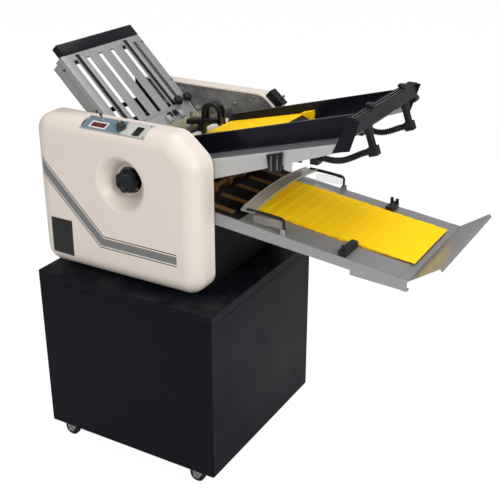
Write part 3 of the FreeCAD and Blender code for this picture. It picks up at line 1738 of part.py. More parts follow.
near_screw = ("near_block_left + block_wide / 2", "near_block_end + screw_inset")
tray_block("near_stack_guide", "near_block_left", "near_block_end", "near_block_tip", [near_screw])
far_screws = [
    (f"far_block_left + {side}", "far_block_end - screw_inset")
    for side in ("block_edge", "block_wide - block_edge")
]
tray_block("far_stack_guide", "far_block_left", "far_block_tip", "far_block_end", far_screws)

# Delivery guard: an arched clear bar with clear cheeks, on two bent wires that hinge on the tray
sizes(
    guard_left=28,
    guard_right=70,
    guard_near=-170,
    guard_far=222,
    guard_height=860,
    guard_arch=16,
    guard_thick=3,
    wire_near=-164,
    wire_far=216,
    wire_half=3.5,
    wire_left=58,
    wire_left_height=862,
    wire_bend_x=139,
    wire_bend_height=856,
    wire_foot_x=157,
    wire_foot_bend=843,
    wire_foot_height=822,
    cheek_left=64,
    cheek_right=150,
    cheek_low=828,
    cheek_sheet=2,
    pivot_radius=6,
    pivot_pin=2.5,
    ear_thick=3,
    ear_wide=16,
    guard_half="=(guard_far - guard_near) / 2",
    guard_middle="=(guard_far + guard_near) / 2",
    guard_radius="=(guard_half ^ 2 + guard_arch ^ 2) / (2 * guard_arch)",
    guard_centre="=guard_height + guard_arch - guard_radius",
    pivot_z="=wire_foot_height",
)
guard = Piece("delivery_guard")
strip = rect("guard_left", "guard_right", "guard_radius - guard_thick", "guard_radius")
arched = guard.turn("X", strip, ("guard_middle", "guard_centre"))
arched.Midplane = True
arched.setExpression("Angle", linked("2 * asin(guard_half / guard_radius)"))
wire_side = [
    ("wire_left", "wire_left_height - wire_half"),
    ("wire_bend_x", "wire_bend_height - wire_half"),
    ("wire_foot_x - wire_half", "wire_foot_bend - wire_half"),
    ("wire_foot_x - wire_half", "wire_foot_height"),
    ("wire_foot_x + wire_half", "wire_foot_height"),
    ("wire_foot_x + wire_half", "wire_foot_bend + wire_half / 2"),
    ("wire_bend_x + wire_half", "wire_bend_height + wire_half"),
    ("wire_left", "wire_left_height + wire_half"),
]
pivot_bore = ("wire_foot_x", "pivot_z", "pivot_pin + fit")
cheek = [
    ("cheek_left", "cheek_low"),
    ("cheek_right", "cheek_low"),
    ("cheek_right", "wire_bend_height - 2 * wire_half"),
    ("cheek_left", "wire_left_height - wire_half"),
]
for middle in ("wire_near", "wire_far"):
    guard.pad("XZ", [wire_side], f"{middle} - wire_half", f"{middle} + wire_half")
    guard.pad(
        "XZ",
        [("wire_foot_x", "pivot_z", "pivot_radius")],
        f"{middle} - wire_half",
        f"{middle} + wire_half",
    )
    guard.pad("XZ", [cheek], f"{middle} - cheek_sheet / 2", f"{middle} + cheek_sheet / 2")
    guard.cut("XZ", [pivot_bore], f"{middle} - wire_half - overrun", f"{middle} + wire_half + overrun")
    tray.pad(
        "XZ",
        [("wire_foot_x", "pivot_z", "pivot_pin")],
        f"{middle} - wire_half - running",
        f"{middle} + wire_half + running",
    )
    ear = [
        on_tray("wire_foot_x - ear_wide / 2", "-tray_sheet / 2"),
        on_tray("wire_foot_x + ear_wide / 2", "-tray_sheet / 2"),
        ("wire_foot_x + pivot_radius", "pivot_z + pivot_radius"),
        ("wire_foot_x - pivot_radius", "pivot_z + pivot_radius"),
    ]
    for low in (f"{middle} - wire_half - running - ear_thick", f"{middle} + wire_half + running"):
        tray.pad("XZ", [ear], low, f"{low} + ear_thick")

# Air fittings under the beam, each a stepped cone and an elbow, and the ports under the table
sizes(
    fitting_x=343,
    fitting_lean=-19.5,
    near_fitting=-80,
    far_fitting=170,
    cone_radius=15,
    cone_tall=28,
    cone_ring=2,
    cone_rings=4,
    pipe_radius=10,
    elbow_drop=70,
    elbow_half=12,
    elbow_reach=14,
    fitting_sink=8,
    hose_radius=9,
    hose_valley=7.2,
    hose_bore=5.5,
    port_x=243,
    port_long=22,
    port_wide=28,
    port_tall=34,
    near_port=-135,
    far_port=150,
    port_height=1034,
)
fittings = Piece("hose_fittings")
for middle in ("near_fitting", "far_fitting"):
    cone = [("0", "fitting_sink"), ("cone_radius", "fitting_sink")]
    for number in range(int(size("cone_rings"))):
        drop = f"cone_tall * {number} / cone_rings"
        lower = f"cone_tall * {number + 1} / cone_rings"
        shrink = f"(cone_radius - pipe_radius) * {number} / cone_rings"
        cone.append((f"cone_radius - {shrink}", f"-({drop}) - cone_ring"))
        cone.append((f"cone_radius - {shrink} - cone_ring", f"-({lower})"))
    cone.append(("pipe_radius", "-cone_tall"))
    cone.append(("pipe_radius", "-elbow_drop"))
    cone.append(("0", "-elbow_drop"))
    fittings.turn("Z", cone, ("0", middle))
    elbow = block("0", "2 * elbow_half", middle, "2 * elbow_half")
    fittings.pad("XY", [elbow], "-elbow_drop - elbow_half", "-elbow_drop + elbow_half")
    fittings.pad("YZ", [(middle, "-elbow_drop", "pipe_radius")], "-elbow_reach", "0")
half = "(cone_radius + fitting_sink)"
above = [
    (f"-{half} * cos(fitting_lean)", f"-{half} * sin(fitting_lean)"),
    (f"{half} * cos(fitting_lean)", f"{half} * sin(fitting_lean)"),
    (f"{half} * cos(fitting_lean)", "2 * fitting_sink"),
    (f"-{half} * cos(fitting_lean)", "2 * fitting_sink"),
]
fittings.cut("XZ", [above], "near_fitting - 2 * cone_radius", "far_fitting + 2 * cone_radius")
fittings.place("fitting_x", "0", "beam_low", (0, 1, 0), "fitting_lean")

for middle in ("near_port", "far_port"):
    left, right = "port_x - port_long", "port_x"
    side = [
        (left, "port_height - port_tall / 2"),
        (right, "port_height - port_tall / 2"),
        on_table(right, "-table_sheet"),
        on_table(left, "-table_sheet"),
    ]
    table.pad("XZ", [side], f"{middle} - port_wide / 2", f"{middle} + port_wide / 2")


# hose centre line: straight runs joined by arcs that touch them, with the radius of each arc
def hose_path(points):
    edges = []
    here = points[0]
    radii = []
    for before, corner, after in zip(points, points[1:], points[2:]):
        back, ahead = before - corner, after - corner
        reach = size("hose_arc_share") * min(back.Length, ahead.Length)
        back.normalize()
        ahead.normalize()
        start, end = corner + back * reach, corner + ahead * reach
        half_turn = (math.pi - back.getAngle(ahead)) / 2
        radius = reach / math.tan(half_turn)
        radii.append(round(radius, 1))
        bisector = (back + ahead).normalize()
        middle = corner + bisector * (radius / math.cos(half_turn) - radius)
        edges.append(Part.LineSegment(here, start).toShape())
        edges.append(Part.Arc(start, middle, end).toShape())
        here = end
    edges.append(Part.LineSegment(here, points[-1]).toShape())
    return Part.Wire(edges), radii


sizes(hose_arc_share=0.45, hose_rib=6, hose_rib_crest=2.4, hose_rib_slope=0.9)


# corrugated hose: a ruled loft through four circles a rib, plain for one diameter at each end
def hose(label, points):
    path, radii = hose_path(points)
    plain, pitch = size("2 * hose_radius"), size("hose_rib")
    crest, slope = size("hose_rib_crest"), size("hose_rib_slope")
    valley, peak = size("hose_valley"), size("hose_radius")
    ribs = int((path.Length - 2 * plain) / pitch)
    first = (path.Length - ribs * pitch) / 2
    stations = [(0, valley)]
    for number in range(ribs):
        at = first + number * pitch
        stations += [
            (at, valley),
            (at + slope, peak),
            (at + slope + crest, peak),
            (at + 2 * slope + crest, valley),
        ]
    stations.append((path.Length, valley))
    spans = []
    total = 0
    for edge in path.OrderedEdges:
        spans.append((total, edge))
        total += edge.Length

    def circle(at, radius):
        start, edge = next(span for span in reversed(spans) if at >= span[0] or span is spans[0])
        parameter = edge.getParameterByLength(min(at - start, edge.Length))
        place, heading = edge.valueAt(parameter), edge.tangentAt(parameter)
        across = Vector(0, 0, 1).cross(heading).normalize()
        frame = Part.Circle(place, heading, radius)
        frame.XAxis = across
        return Part.Wire(frame.toShape())

    outside = Part.makeLoft([circle(at, radius) for at, radius in stations], True, True)
    bore = Part.makeLoft([circle(at, size("hose_bore")) for at, radius in stations[::2]] , True, True)
    tube = document.addObject("Part::Feature", label)
    tube.Shape = outside.cut(bore)
    pieces.append(tube)
    print(
        label,
        "length",
        round(path.Length, 1),
        "radii",
        radii,
        "ribs",
        ribs,
        "volume",
        round(tube.Shape.Volume),
    )


lean = math.radians(size("fitting_lean"))
mouth_x, mouth_z = -size("elbow_reach"), -size("elbow_drop")
exit_x = size("fitting_x") + mouth_x * math.cos(lean) + mouth_z * math.sin(lean)
exit_z = size("beam_low") - mouth_x * math.sin(lean) + mouth_z * math.cos(lean)
away = Vector(-math.cos(lean), 0, math.sin(lean))
sizes(hose_straight=18)
hose_bends = {
    "near": [(318, -93, 1036), (296, -112, 1028), (275, -129, 1030), (260, -135, 1034)],
    "far": [(316, 166, 1036), (294, 158, 1029), (274, 151, 1030), (260, 150, 1034)],
}
for place, bends in hose_bends.items():
    exit_point = Vector(exit_x, size(f"{place}_fitting"), exit_z)
    end_point = Vector(size("port_x"), size(f"{place}_port"), size("port_height"))
    route = [exit_point, exit_point + away * size("hose_straight")]
    route += [Vector(*bend) for bend in bends]
    hose(f"{place}_air_hose", route + [end_point])

document.recompute()
for item in document.Objects:
    if {"Invalid", "Error"} & set(item.State):
        raise RuntimeError(f"{item.Name}: {item.State}")
for piece in pieces:
    if piece.Shape.isNull() or not piece.Shape.isValid():
        raise RuntimeError(f"{piece.Label}: no valid shape")
os.makedirs("parts", exist_ok=True)
for piece in pieces:
    piece.Shape.exportStep(f"parts/{piece.Label}.step")
print(len(pieces), "sub-parts written")
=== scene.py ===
import math
import random

import bmesh
import bpy
from mathutils import Matrix, Vector
from mathutils.bvhtree import BVHTree


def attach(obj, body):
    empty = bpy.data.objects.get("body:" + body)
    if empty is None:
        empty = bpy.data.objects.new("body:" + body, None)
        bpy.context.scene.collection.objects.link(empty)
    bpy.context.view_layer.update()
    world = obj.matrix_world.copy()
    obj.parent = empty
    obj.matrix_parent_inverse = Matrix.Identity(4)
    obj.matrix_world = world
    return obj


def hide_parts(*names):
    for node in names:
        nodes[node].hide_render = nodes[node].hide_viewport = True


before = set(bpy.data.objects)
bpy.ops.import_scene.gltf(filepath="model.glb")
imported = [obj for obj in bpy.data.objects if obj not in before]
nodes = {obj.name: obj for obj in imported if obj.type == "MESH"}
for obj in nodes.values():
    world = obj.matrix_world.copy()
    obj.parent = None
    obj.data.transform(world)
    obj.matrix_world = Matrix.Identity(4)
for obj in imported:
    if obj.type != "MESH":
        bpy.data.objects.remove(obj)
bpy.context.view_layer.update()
chance = random.Random(714)
mm = 0.001
print("frame loaded:", len(nodes), "nodes")

# camera at the photograph's viewing angle
cameraView = {"place": (1.2196, -2.1929, 1.8104), "azimuth": 29.90, "elevation": 24.51, "lens": 67.36, "sensor": 36.0}


def makeCamera(values):
    data = bpy.data.cameras.new("photoCamera")
    data.lens, data.sensor_width = values["lens"], values["sensor"]
    data.clip_end = 100
    camera = bpy.data.objects.new("photoCamera", data)
    bpy.context.scene.collection.objects.link(camera)
    turn, tilt = math.radians(values["azimuth"]), math.radians(values["elevation"])
    back = Vector((math.sin(turn) * math.cos(tilt), -math.cos(turn) * math.cos(tilt), math.sin(tilt)))
    camera.location = values["place"]
    camera.rotation_mode = "QUATERNION"
    camera.rotation_quaternion = (-back).to_track_quat("-Z", "Y")
    bpy.context.scene.camera = camera


makeCamera(cameraView)


# shader tools: wire adds a node, with a link for each socket and a plain value for the rest
def wire(tree, kind, sockets=None, **settings):
    node = tree.nodes.new("ShaderNode" + kind)
    for name, value in settings.items():
        setattr(node, name, value)
    for key, value in (sockets or {}).items():
        if isinstance(value, bpy.types.NodeSocket):
            tree.links.new(value, node.inputs[key])
        else:
            node.inputs[key].default_value = value
    return node


def newGroup(name, inputs, outputs):
    group = bpy.data.node_groups.new(name, "ShaderNodeTree")
    for label, kind, value in inputs:
        socket = group.interface.new_socket(name=label, in_out="INPUT", socket_type="NodeSocket" + kind)
        socket.default_value = value
    for label, kind in outputs:
        group.interface.new_socket(name=label, in_out="OUTPUT", socket_type="NodeSocket" + kind)
    return group, group.nodes.new("NodeGroupInput").outputs, group.nodes.new("NodeGroupOutput").inputs


def mixColour(tree, factor, first, second):
    return wire(tree, "Mix", {0: factor, 6: first, 7: second}, data_type="RGBA").outputs[2]


def maths(tree, operation, *values):
    return wire(tree, "Math", dict(enumerate(values)), operation=operation).outputs[0]


def ramp(tree, value, low, high, first, last):
    return wire(tree, "MapRange", {"Value": value, 1: low, 2: high, 3: first, 4: last}).outputs[0]


# shared effect: fine moulded or sprayed grain, with a slower cloudiness beside it
def makeFineGrain():
    inputs = [("Scale", "Float", 900.0), ("Cloud Scale", "Float", 6.0)]
    group, given, out = newGroup("fineGrain", inputs, [("Height", "Float"), ("Cloud", "Float")])
    spot = wire(group, "TexCoord").outputs["Object"]
    grain = wire(group, "TexNoise", {"Vector": spot, "Scale": given["Scale"], "Detail": 3.0, "Roughness": 0.6})
    cloud = wire(group, "TexNoise", {"Vector": spot, "Scale": given["Cloud Scale"], "Detail": 4.0, "Roughness": 0.55})
    group.links.new(grain.outputs[0], out["Height"])
    group.links.new(cloud.outputs[0], out["Cloud"])
    return group


# shared effect: lines of a brushed or rolled sheet, long along the axis with the small stretch
def makeBrushedLines():
    inputs = [("Stretch", "Vector", (6.0, 700.0, 700.0))]
    group, given, out = newGroup("brushedLines", inputs, [("Height", "Float"), ("Streak", "Float")])
    spot = wire(group, "TexCoord").outputs["Object"]
    lines = wire(group, "Mapping", {"Vector": spot, "Scale": given["Stretch"]})
    fine = wire(group, "TexNoise", {"Vector": lines.outputs[0], "Scale": 1.0, "Detail": 2.0})
    broad = wire(group, "Mapping", {"Vector": lines.outputs[0], "Scale": (0.6, 0.12, 0.12)})
    streak = wire(group, "TexNoise", {"Vector": broad.outputs[0], "Scale": 1.0, "Detail": 2.0})
    group.links.new(fine.outputs[0], out["Height"])
    group.links.new(streak.outputs[0], out["Streak"])
    return group


# shared effect: where edges are rubbed bare, from the difference of a rounded and the true normal
def makeEdgeWear():
    inputs = [("Radius", "Float", 0.0012), ("Breakup", "Float", 40.0)]
    group, given, out = newGroup("edgeWear", inputs, [("Mask", "Float")])
    rounded = wire(group, "Bevel", {"Radius": given["Radius"]}, samples=4)
    true = wire(group, "NewGeometry")
    dot = wire(group, "VectorMath", {0: rounded.outputs[0], 1: true.outputs["Normal"]}, operation="DOT_PRODUCT")
    edge = ramp(group, dot.outputs["Value"], 0.985, 0.86, 0.0, 1.0)
    spot = wire(group, "TexCoord").outputs["Object"]
    patches = wire(group, "TexNoise", {"Vector": spot, "Scale": given["Breakup"], "Detail": 5.0})
    ragged = ramp(group, patches.outputs[0], 0.42, 0.6, 0.0, 1.0)
    group.links.new(maths(group, "MULTIPLY", edge, ragged), out["Mask"])
    return group


# shared effect: a thin film of dust on what faces up
def makeDustFilm():
    group, given, out = newGroup("dustFilm", [("Patch Scale", "Float", 14.0)], [("Mask", "Float")])
    normal = wire(group, "NewGeometry").outputs["Normal"]
    facing = ramp(group, wire(group, "SeparateXYZ", {0: normal}).outputs[2], 0.55, 1.0, 0.0, 1.0)
    spot = wire(group, "TexCoord").outputs["Object"]
    patches = wire(group, "TexNoise", {"Vector": spot, "Scale": given["Patch Scale"], "Detail": 6.0})
    cover = ramp(group, patches.outputs[0], 0.4, 0.75, 0.0, 1.0)
    group.links.new(maths(group, "MULTIPLY", facing, cover), out["Mask"])
    return group


# shared effect: the blotches of plated or milled steel sheet
def makeMottle():
    group, given, out = newGroup("mottle", [("Blotch Scale", "Float", 55.0)], [("Mask", "Float")])
    spot = wire(group, "TexCoord").outputs["Object"]
    cells = wire(group, "TexVoronoi", {"Vector": spot, "Scale": given["Blotch Scale"], "Randomness": 1.0},
        feature="SMOOTH_F1")
    cloud = wire(group, "TexNoise", {"Vector": spot, "Scale": given["Blotch Scale"], "Detail": 5.0, "Roughness": 0.7})
    both = maths(group, "MULTIPLY", ramp(group, cells.outputs[0], 0.1, 0.7, 0.4, 1.0), cloud.outputs[0])
    group.links.new(ramp(group, both, 0.2, 0.5, 0.0, 1.0), out["Mask"])
    return group


effects = {
    "fineGrain": makeFineGrain(),
    "brushedLines": makeBrushedLines(),
    "edgeWear": makeEdgeWear(),
    "dustFilm": makeDustFilm(),
    "mottle": makeMottle(),
}


def effect(tree, name, **values):
    node = tree.nodes.new("ShaderNodeGroup")
    node.node_tree = effects[name]
    for label, value in values.items():
        node.inputs[label].default_value = value
    return node.outputs


# one finish: its values, then the grain, lines, wear, dust and painted shade on upward faces that the values ask for
plainFinish = {
    "cloudTint": 0.92,
    "roughness": 0.45,
    "roughSpread": 0.12,
    "metallic": 0.0,
    "coat": 0.0,
    "coatRoughness": 0.1,
    "specular": 0.5,
    "grainScale": 900.0,
    "grainDepth": 0.06,
    "grainReach": 0.0004,
    "cloudScale": 6.0,
    "lines": None,
    "lineDepth": 0.05,
    "streakTint": 0.9,
    "mottleTint": None,
    "wear": None,
    "wearRadius": 0.0012,
    "dust": 0.0,
    "dustColour": (0.55, 0.53, 0.5),
    "paintedTopShade": None,
}


def opaque(colour):
    return (*colour[:3], 1.0)


def tinted(colour, share):
    return opaque([part * share for part in colour[:3]])


def finish(name, colour, **values):
    look = {**plainFinish, **values}
    material = bpy.data.materials.new(name)
    material.use_nodes = True
    tree = material.node_tree
    shader = tree.nodes["Principled BSDF"]
    shader.inputs["Metallic"].default_value = look["metallic"]
    shader.inputs["Coat Weight"].default_value = look["coat"]
    shader.inputs["Coat Roughness"].default_value = look["coatRoughness"]
    shader.inputs["Specular IOR Level"].default_value = look["specular"]
    grain = effect(tree, "fineGrain", **{"Scale": look["grainScale"], "Cloud Scale": look["cloudScale"]})
    tone = mixColour(tree, grain["Cloud"], tinted(colour, look["cloudTint"]), opaque(colour))
    if look["mottleTint"]:
        blotches = effect(tree, "mottle", **{"Blotch Scale": look["cloudScale"] * 2})
        tone = mixColour(tree, blotches["Mask"], tone, tinted(colour, look["mottleTint"]))
    # painted shade: faces that look up are mixed towards the darker tint
    if look["paintedTopShade"]:
        up = wire(tree, "SeparateXYZ", {0: wire(tree, "NewGeometry").outputs["Normal"]}).outputs[2]
        tone = mixColour(tree, ramp(tree, up, 0.35, 0.75, 0.0, 1.0), tone, opaque(look["paintedTopShade"]))
    height = grain["Height"]
    spread = look["roughSpread"] / 2
    rough = ramp(tree, grain["Cloud"], 0.3, 0.7, look["roughness"] - spread, look["roughness"] + spread)
    if look["lines"]:
        lines = effect(tree, "brushedLines", **{"Stretch": look["lines"]})
        streaks = ramp(tree, lines["Streak"], 0.35, 0.65, 0.0, 1.0)
        tone = mixColour(tree, maths(tree, "MULTIPLY", streaks, 1.0 - look["streakTint"]), tone, (0.02, 0.02, 0.02,
            1.0))
        height = maths(tree, "MULTIPLY_ADD", lines["Height"], look["lineDepth"] / look["grainDepth"], height)
    if look["wear"]:
        worn = effect(tree, "edgeWear", **{"Radius": look["wearRadius"]})
        tone = mixColour(tree, worn["Mask"], tone, opaque(look["wear"]))
    if look["dust"]:
        film = effect(tree, "dustFilm")
        share = maths(tree, "MULTIPLY", film["Mask"], look["dust"])
        tone = mixColour(tree, share, tone, opaque(look["dustColour"]))
        rough = maths(tree, "MULTIPLY_ADD", share, 0.4, rough)
    bump = wire(tree, "Bump", {"Strength": look["grainDepth"], "Distance": look["grainReach"], "Height": height})
    tree.links.new(tone, shader.inputs["Base Color"])
    tree.links.new(rough, shader.inputs["Roughness"])
    tree.links.new(bump.outputs[0], shader.inputs["Normal"])
    return material


def clearFinish(name, colour, roughness, ior, transmission):
    material = bpy.data.materials.new(name)
    material.use_nodes = True
    tree = material.node_tree
    shader = tree.nodes["Principled BSDF"]
    shader.inputs["IOR"].default_value = ior
    shader.inputs["Transmission Weight"].default_value = transmission
    grain = effect(tree, "fineGrain", **{"Scale": 120.0, "Cloud Scale": 9.0})
    tone = mixColour(tree, grain["Cloud"], tinted(colour, 0.96), opaque(colour))
    rough = ramp(tree, grain["Cloud"], 0.3, 0.7, roughness * 0.6, roughness * 1.4)
    bump = wire(tree, "Bump", {"Strength": 0.03, "Distance": 0.0005, "Height": grain["Height"]})
    tree.links.new(tone, shader.inputs["Base Color"])
    tree.links.new(rough, shader.inputs["Roughness"])
    tree.links.new(bump.outputs[0], shader.inputs["Normal"])
    return material


# the machine's finishes; each entry's first word is the record's slot that it belongs to
gloss = {"specular": 0.22, "wear": (0.06, 0.06, 0.065)}
finishTable = {
    "cabinetPaint": ("cabinet_paint", (0.0055, 0.0066, 0.0105), dict(
        specular=0.06, cloudTint=0.8, roughness=0.4, coat=0.0, coatRoughness=0.3, grainScale=1400.0, grainDepth=0.1,
        grainReach=0.0003, wear=(0.03, 0.03, 0.035), dust=0.03)),
    # near black on the inner plates, and the colour of sheets put where there is only shade
    "innerBlackAndShade": ("cabinet_paint", (0.004, 0.004, 0.005), dict(specular=0.1, roughness=0.6, dust=0.05)),
    "coverMoulding": ("cover_moulding", (0.71, 0.635, 0.57), dict(
        specular=0.4, cloudTint=0.97, roughness=0.4, roughSpread=0.08, coat=0.1, coatRoughness=0.3, grainScale=1600.0,
        grainDepth=0.08, grainReach=0.0003, dust=0.05, dustColour=(0.6, 0.55, 0.49))),
    "zincPlate": ("zinc_plate", (0.34, 0.34, 0.34), dict(
        cloudTint=0.75, roughness=0.38, metallic=0.9, grainScale=500.0, cloudScale=30.0, wear=(0.6, 0.6, 0.6))),
    "casterTread": ("caster_tread", (0.012, 0.012, 0.012), dict(
        specular=0.3, roughness=0.62, grainScale=1200.0, grainDepth=0.12, dust=0.2, wear=(0.05, 0.045, 0.04))),
    # base pan: near black, with the shade in the gap under the machine painted into its colour
    "panBlackShade": ("pan_steel", (0.012, 0.012, 0.013), dict(specular=0.2, roughness=0.5, dust=0.15)),
    "framePlate": ("frame_plate", (0.36, 0.36, 0.355), dict(
        cloudTint=0.84, roughness=0.4, metallic=0.6, lines=(8.0, 600.0, 420.0), streakTint=0.85, cloudScale=22.0,
        mottleTint=0.62, wear=(0.6, 0.6, 0.6))),
    # fold rollers: dark steel, and the brownish tint is a painted reflection of the yellow paper
    "rollerSteelPaperReflection": ("roller_steel", (0.17, 0.14, 0.11), dict(
        roughness=0.32, metallic=0.9, lines=(900.0, 5.0, 900.0), grainScale=1500.0, wear=(0.5, 0.46, 0.4))),
    "feedTyre": ("feed_tyre", (0.16, 0.075, 0.016), dict(
        specular=0.4, roughness=0.5, grainScale=1500.0, grainDepth=0.15, dust=0.1)),
    "knobBlack": ("knob_black", (0.007, 0.007, 0.008), dict(
        **gloss, roughness=0.34, coat=0.08, grainScale=1100.0, grainDepth=0.1, dust=0.04)),
    "wheelBlack": ("knob_black", (0.007, 0.008, 0.012), dict(
        specular=0.2, roughness=0.3, coat=0.06, coatRoughness=0.2, grainScale=1100.0, grainDepth=0.06,
        wear=(0.05, 0.05, 0.06))),
    "speedDial": ("speed_dial", (0.01, 0.012, 0.016), dict(specular=0.5, roughness=0.25, coat=0.3, wear=(0.09, 0.09,
        0.09))),
    "motorBody": ("motor_body", (0.02, 0.022, 0.024), dict(specular=0.3, roughness=0.5, grainScale=700.0,
        grainDepth=0.2)),
    "turnedAlloy": ("pulley", (0.5, 0.5, 0.51), dict(roughness=0.3, metallic=1.0, lines=(900.0, 6.0, 900.0))),
    "beltRubber": ("belt", (0.012, 0.012, 0.012), dict(specular=0.2, roughness=0.7, grainScale=900.0,
        grainDepth=0.2)),
    "tieSteel": ("tie_steel", (0.3, 0.3, 0.3), dict(
        roughness=0.38, metallic=0.8, lines=(420.0, 8.0, 420.0), dust=0.1, wear=(0.6, 0.6, 0.6))),
    "panelFace": ("panel_face", (0.42, 0.42, 0.4), dict(roughness=0.4, metallic=0.3, grainDepth=0.05)),
    "labelBlue": ("panel_face", (0.115, 0.185, 0.235), dict(roughness=0.35, coat=0.2, grainDepth=0.03)),
    "labelGrey": ("panel_face", (0.5, 0.5, 0.47), dict(roughness=0.35, coat=0.2, grainDepth=0.03)),
    "bezelWhite": ("panel_face", (0.66, 0.66, 0.64), dict(roughness=0.35, wear=(0.4, 0.4, 0.4), wearRadius=0.0005)),
    "counterRed": ("switch_black", (0.05, 0.004, 0.005), dict(specular=0.4, roughness=0.14, coat=0.4)),
    "digitRed": ("switch_black", (0.28, 0.012, 0.012), dict(roughness=0.3)),
    "switchBlack": ("switch_black", (0.008, 0.008, 0.009), dict(**gloss, roughness=0.28, coat=0.12)),
    "toggleChrome": ("toggle_chrome", (0.45, 0.45, 0.46), dict(roughness=0.18, metallic=1.0)),
    "plateSheet": ("plate_sheet", (0.30, 0.30, 0.295), dict(
        cloudTint=0.92, roughness=0.42, metallic=0.3, lines=(260.0, 9.0, 260.0), lineDepth=0.03, streakTint=0.93,
        wear=(0.5, 0.5, 0.5), dust=0.04)),
    # latch steel, also on the pale lines beside the beam's slot, which are painted highlights
    "latchSteelAndHighlight": ("plate_sheet", (0.42, 0.42, 0.41), dict(roughness=0.36, metallic=0.4, wear=(0.6, 0.6, 0.6))),
    "barBlack": ("bar_black", (0.006, 0.0068, 0.0095), dict(
        specular=0.12, roughness=0.36, coat=0.03, coatRoughness=0.2, grainScale=1100.0, grainDepth=0.1,
        wear=(0.05, 0.05, 0.06))),
    # table sheet: its upward faces are darkened by painted shade
    "tableSheet": ("table_sheet", (0.50, 0.495, 0.485), dict(
        cloudTint=0.94, roughness=0.34, metallic=0.3, lines=(9.0, 420.0, 420.0), lineDepth=0.03, streakTint=0.95,
        paintedTopShade=(0.15, 0.155, 0.165), wear=(0.62, 0.62, 0.62))),
    "guideBlack": ("guide_black", (0.0048, 0.0058, 0.011), dict(
        specular=0.16, roughness=0.24, roughSpread=0.06, coat=0.06, coatRoughness=0.08, grainScale=600.0,
        grainDepth=0.03, wear=(0.12, 0.12, 0.13), wearRadius=0.0009)),
    # pale strip along the side guides' top edges: a painted highlight
    "guideEdgeHighlight": ("guide_black", (0.055, 0.06, 0.075), dict(roughness=0.3, wear=(0.3, 0.3, 0.32), wearRadius=0.0008)),
    "leadWhite": ("lead_white", (0.76, 0.75, 0.73), dict(roughness=0.35, wear=(0.5, 0.5, 0.5))),
    "fittingBlack": ("fitting_black", (0.006, 0.0065, 0.007), dict(**gloss, roughness=0.36, coat=0.06, dust=0.05)),
    "hoseBlack": ("hose_black", (0.0055, 0.006, 0.0065), dict(
        specular=0.3, roughness=0.4, roughSpread=0.1, coat=0.06, coatRoughness=0.3, grainScale=1400.0,
        grainDepth=0.12,
        wear=(0.035, 0.035, 0.035), wearRadius=0.0006, dust=0.06)),
    "trayAlloy": ("tray_aluminium", (0.335, 0.335, 0.34), dict(
        cloudTint=0.94, roughness=0.3, roughSpread=0.06, metallic=0.5, lines=(6.0, 300.0, 300.0), lineDepth=0.02,
        streakTint=0.96, wear=(0.56, 0.56, 0.56), wearRadius=0.0015)),
    "paperYellow": ("paper_yellow", (1.0, 0.615, 0.0012), dict(
        cloudTint=0.975, roughness=0.75, roughSpread=0.06, specular=0.2, grainScale=1600.0, grainDepth=0.06,
        grainReach=0.0002, cloudScale=10.0)),
    "stripeDark": ("knob_black", (0.03, 0.034, 0.034), dict(roughness=0.4, grainDepth=0.03)),
    "stripeGrey": ("frame_plate", (0.16, 0.165, 0.16), dict(roughness=0.4, grainDepth=0.03, cloudTint=0.9,
        cloudScale=18.0)),
    "screwSteel": ("tie_steel", (0.35, 0.35, 0.35), dict(roughness=0.3, metallic=0.9, wear=(0.6, 0.6, 0.6))),
    "screwDark": ("switch_black", (0.012, 0.012, 0.013), dict(specular=0.4, roughness=0.35, wear=(0.08, 0.08, 0.08))),
    "tickWhite": ("lead_white", (0.68, 0.68, 0.66), dict(roughness=0.4)),
}
slotOf = {name: entry[0] for name, entry in finishTable.items()}
finishes = {name: finish(name, entry[1], **entry[2]) for name, entry in finishTable.items()}
for name, colour, roughness, share in (("clearSheet", (0.88, 0.86, 0.62), 0.12, 0.9), ("clearGuard", (0.60, 0.60,
    0.58), 0.2, 0.6),
                                        ("clearCheek", (0.9, 0.9, 0.9), 0.06, 0.97)):
    finishes[name] = clearFinish(name, colour, roughness, 1.49, share)
    slotOf[name] = "clear_guide"
wearers = {
    "cabinetPaint": ["cabinet_shell", "cabinet_top"],
    "innerBlackAndShade": ["frame_ties", "lower_fold_plate"],
    "coverMoulding": ["front_cover", "rear_cover"],
    "zincPlate": ["caster_mounts", "caster_fork_1", "caster_fork_2"],
    "casterTread": ["caster_wheel_1", "caster_wheel_2", "caster_wheel_3", "caster_wheel_4"],
    "panBlackShade": ["base_pan"],
    "framePlate": ["front_side_frame", "rear_side_frame"],
    "rollerSteelPaperReflection": ["fold_roller_1", "fold_roller_2", "fold_roller_3", "fold_roller_4"],
    "feedTyre": ["feed_roller", "delivery_shaft"],
    "knobBlack": ["near_stack_guide", "far_stack_guide"],
    "motorBody": ["drive_motor", "air_pump"],
    "turnedAlloy": ["motor_pulley"],
    "beltRubber": ["drive_belt"],
    "tieSteel": ["separator_bar"],
    "panelFace": ["control_panel"],
    "switchBlack": ["power_rocker", "rear_switch_box", "panel_toggle"],
    "toggleChrome": ["rear_toggle"],
    "plateSheet": ["fold_plate", "fold_stop", "lower_fold_stop"],
    "barBlack": ["fold_plate_end_bar", "feed_beam"],
    "tableSheet": ["feed_table"],
    "guideBlack": ["near_side_guide", "far_side_guide"],
    "leadWhite": ["feed_lead_plate"],
    "fittingBlack": ["hose_fittings"],
    "trayAlloy": ["delivery_tray", "tray_extension"],
    "clearSheet": ["infeed_guide"],
}
for finishName, names in wearers.items():
    for name in names:
        nodes[name].data.materials.clear()
        nodes[name].data.materials.append(finishes[finishName])
print("finishes on the nodes")


# places in millimetres, and the frames of the sloping parts: X down or up the slope, Z off the surface
def at(x, y, z):
    return Vector((x, y, z)) * mm


def slopeFrame(x, z, degrees):
    return Matrix.Translation(at(x, 0, z)) @ Matrix.Rotation(math.radians(degrees), 4, "Y")


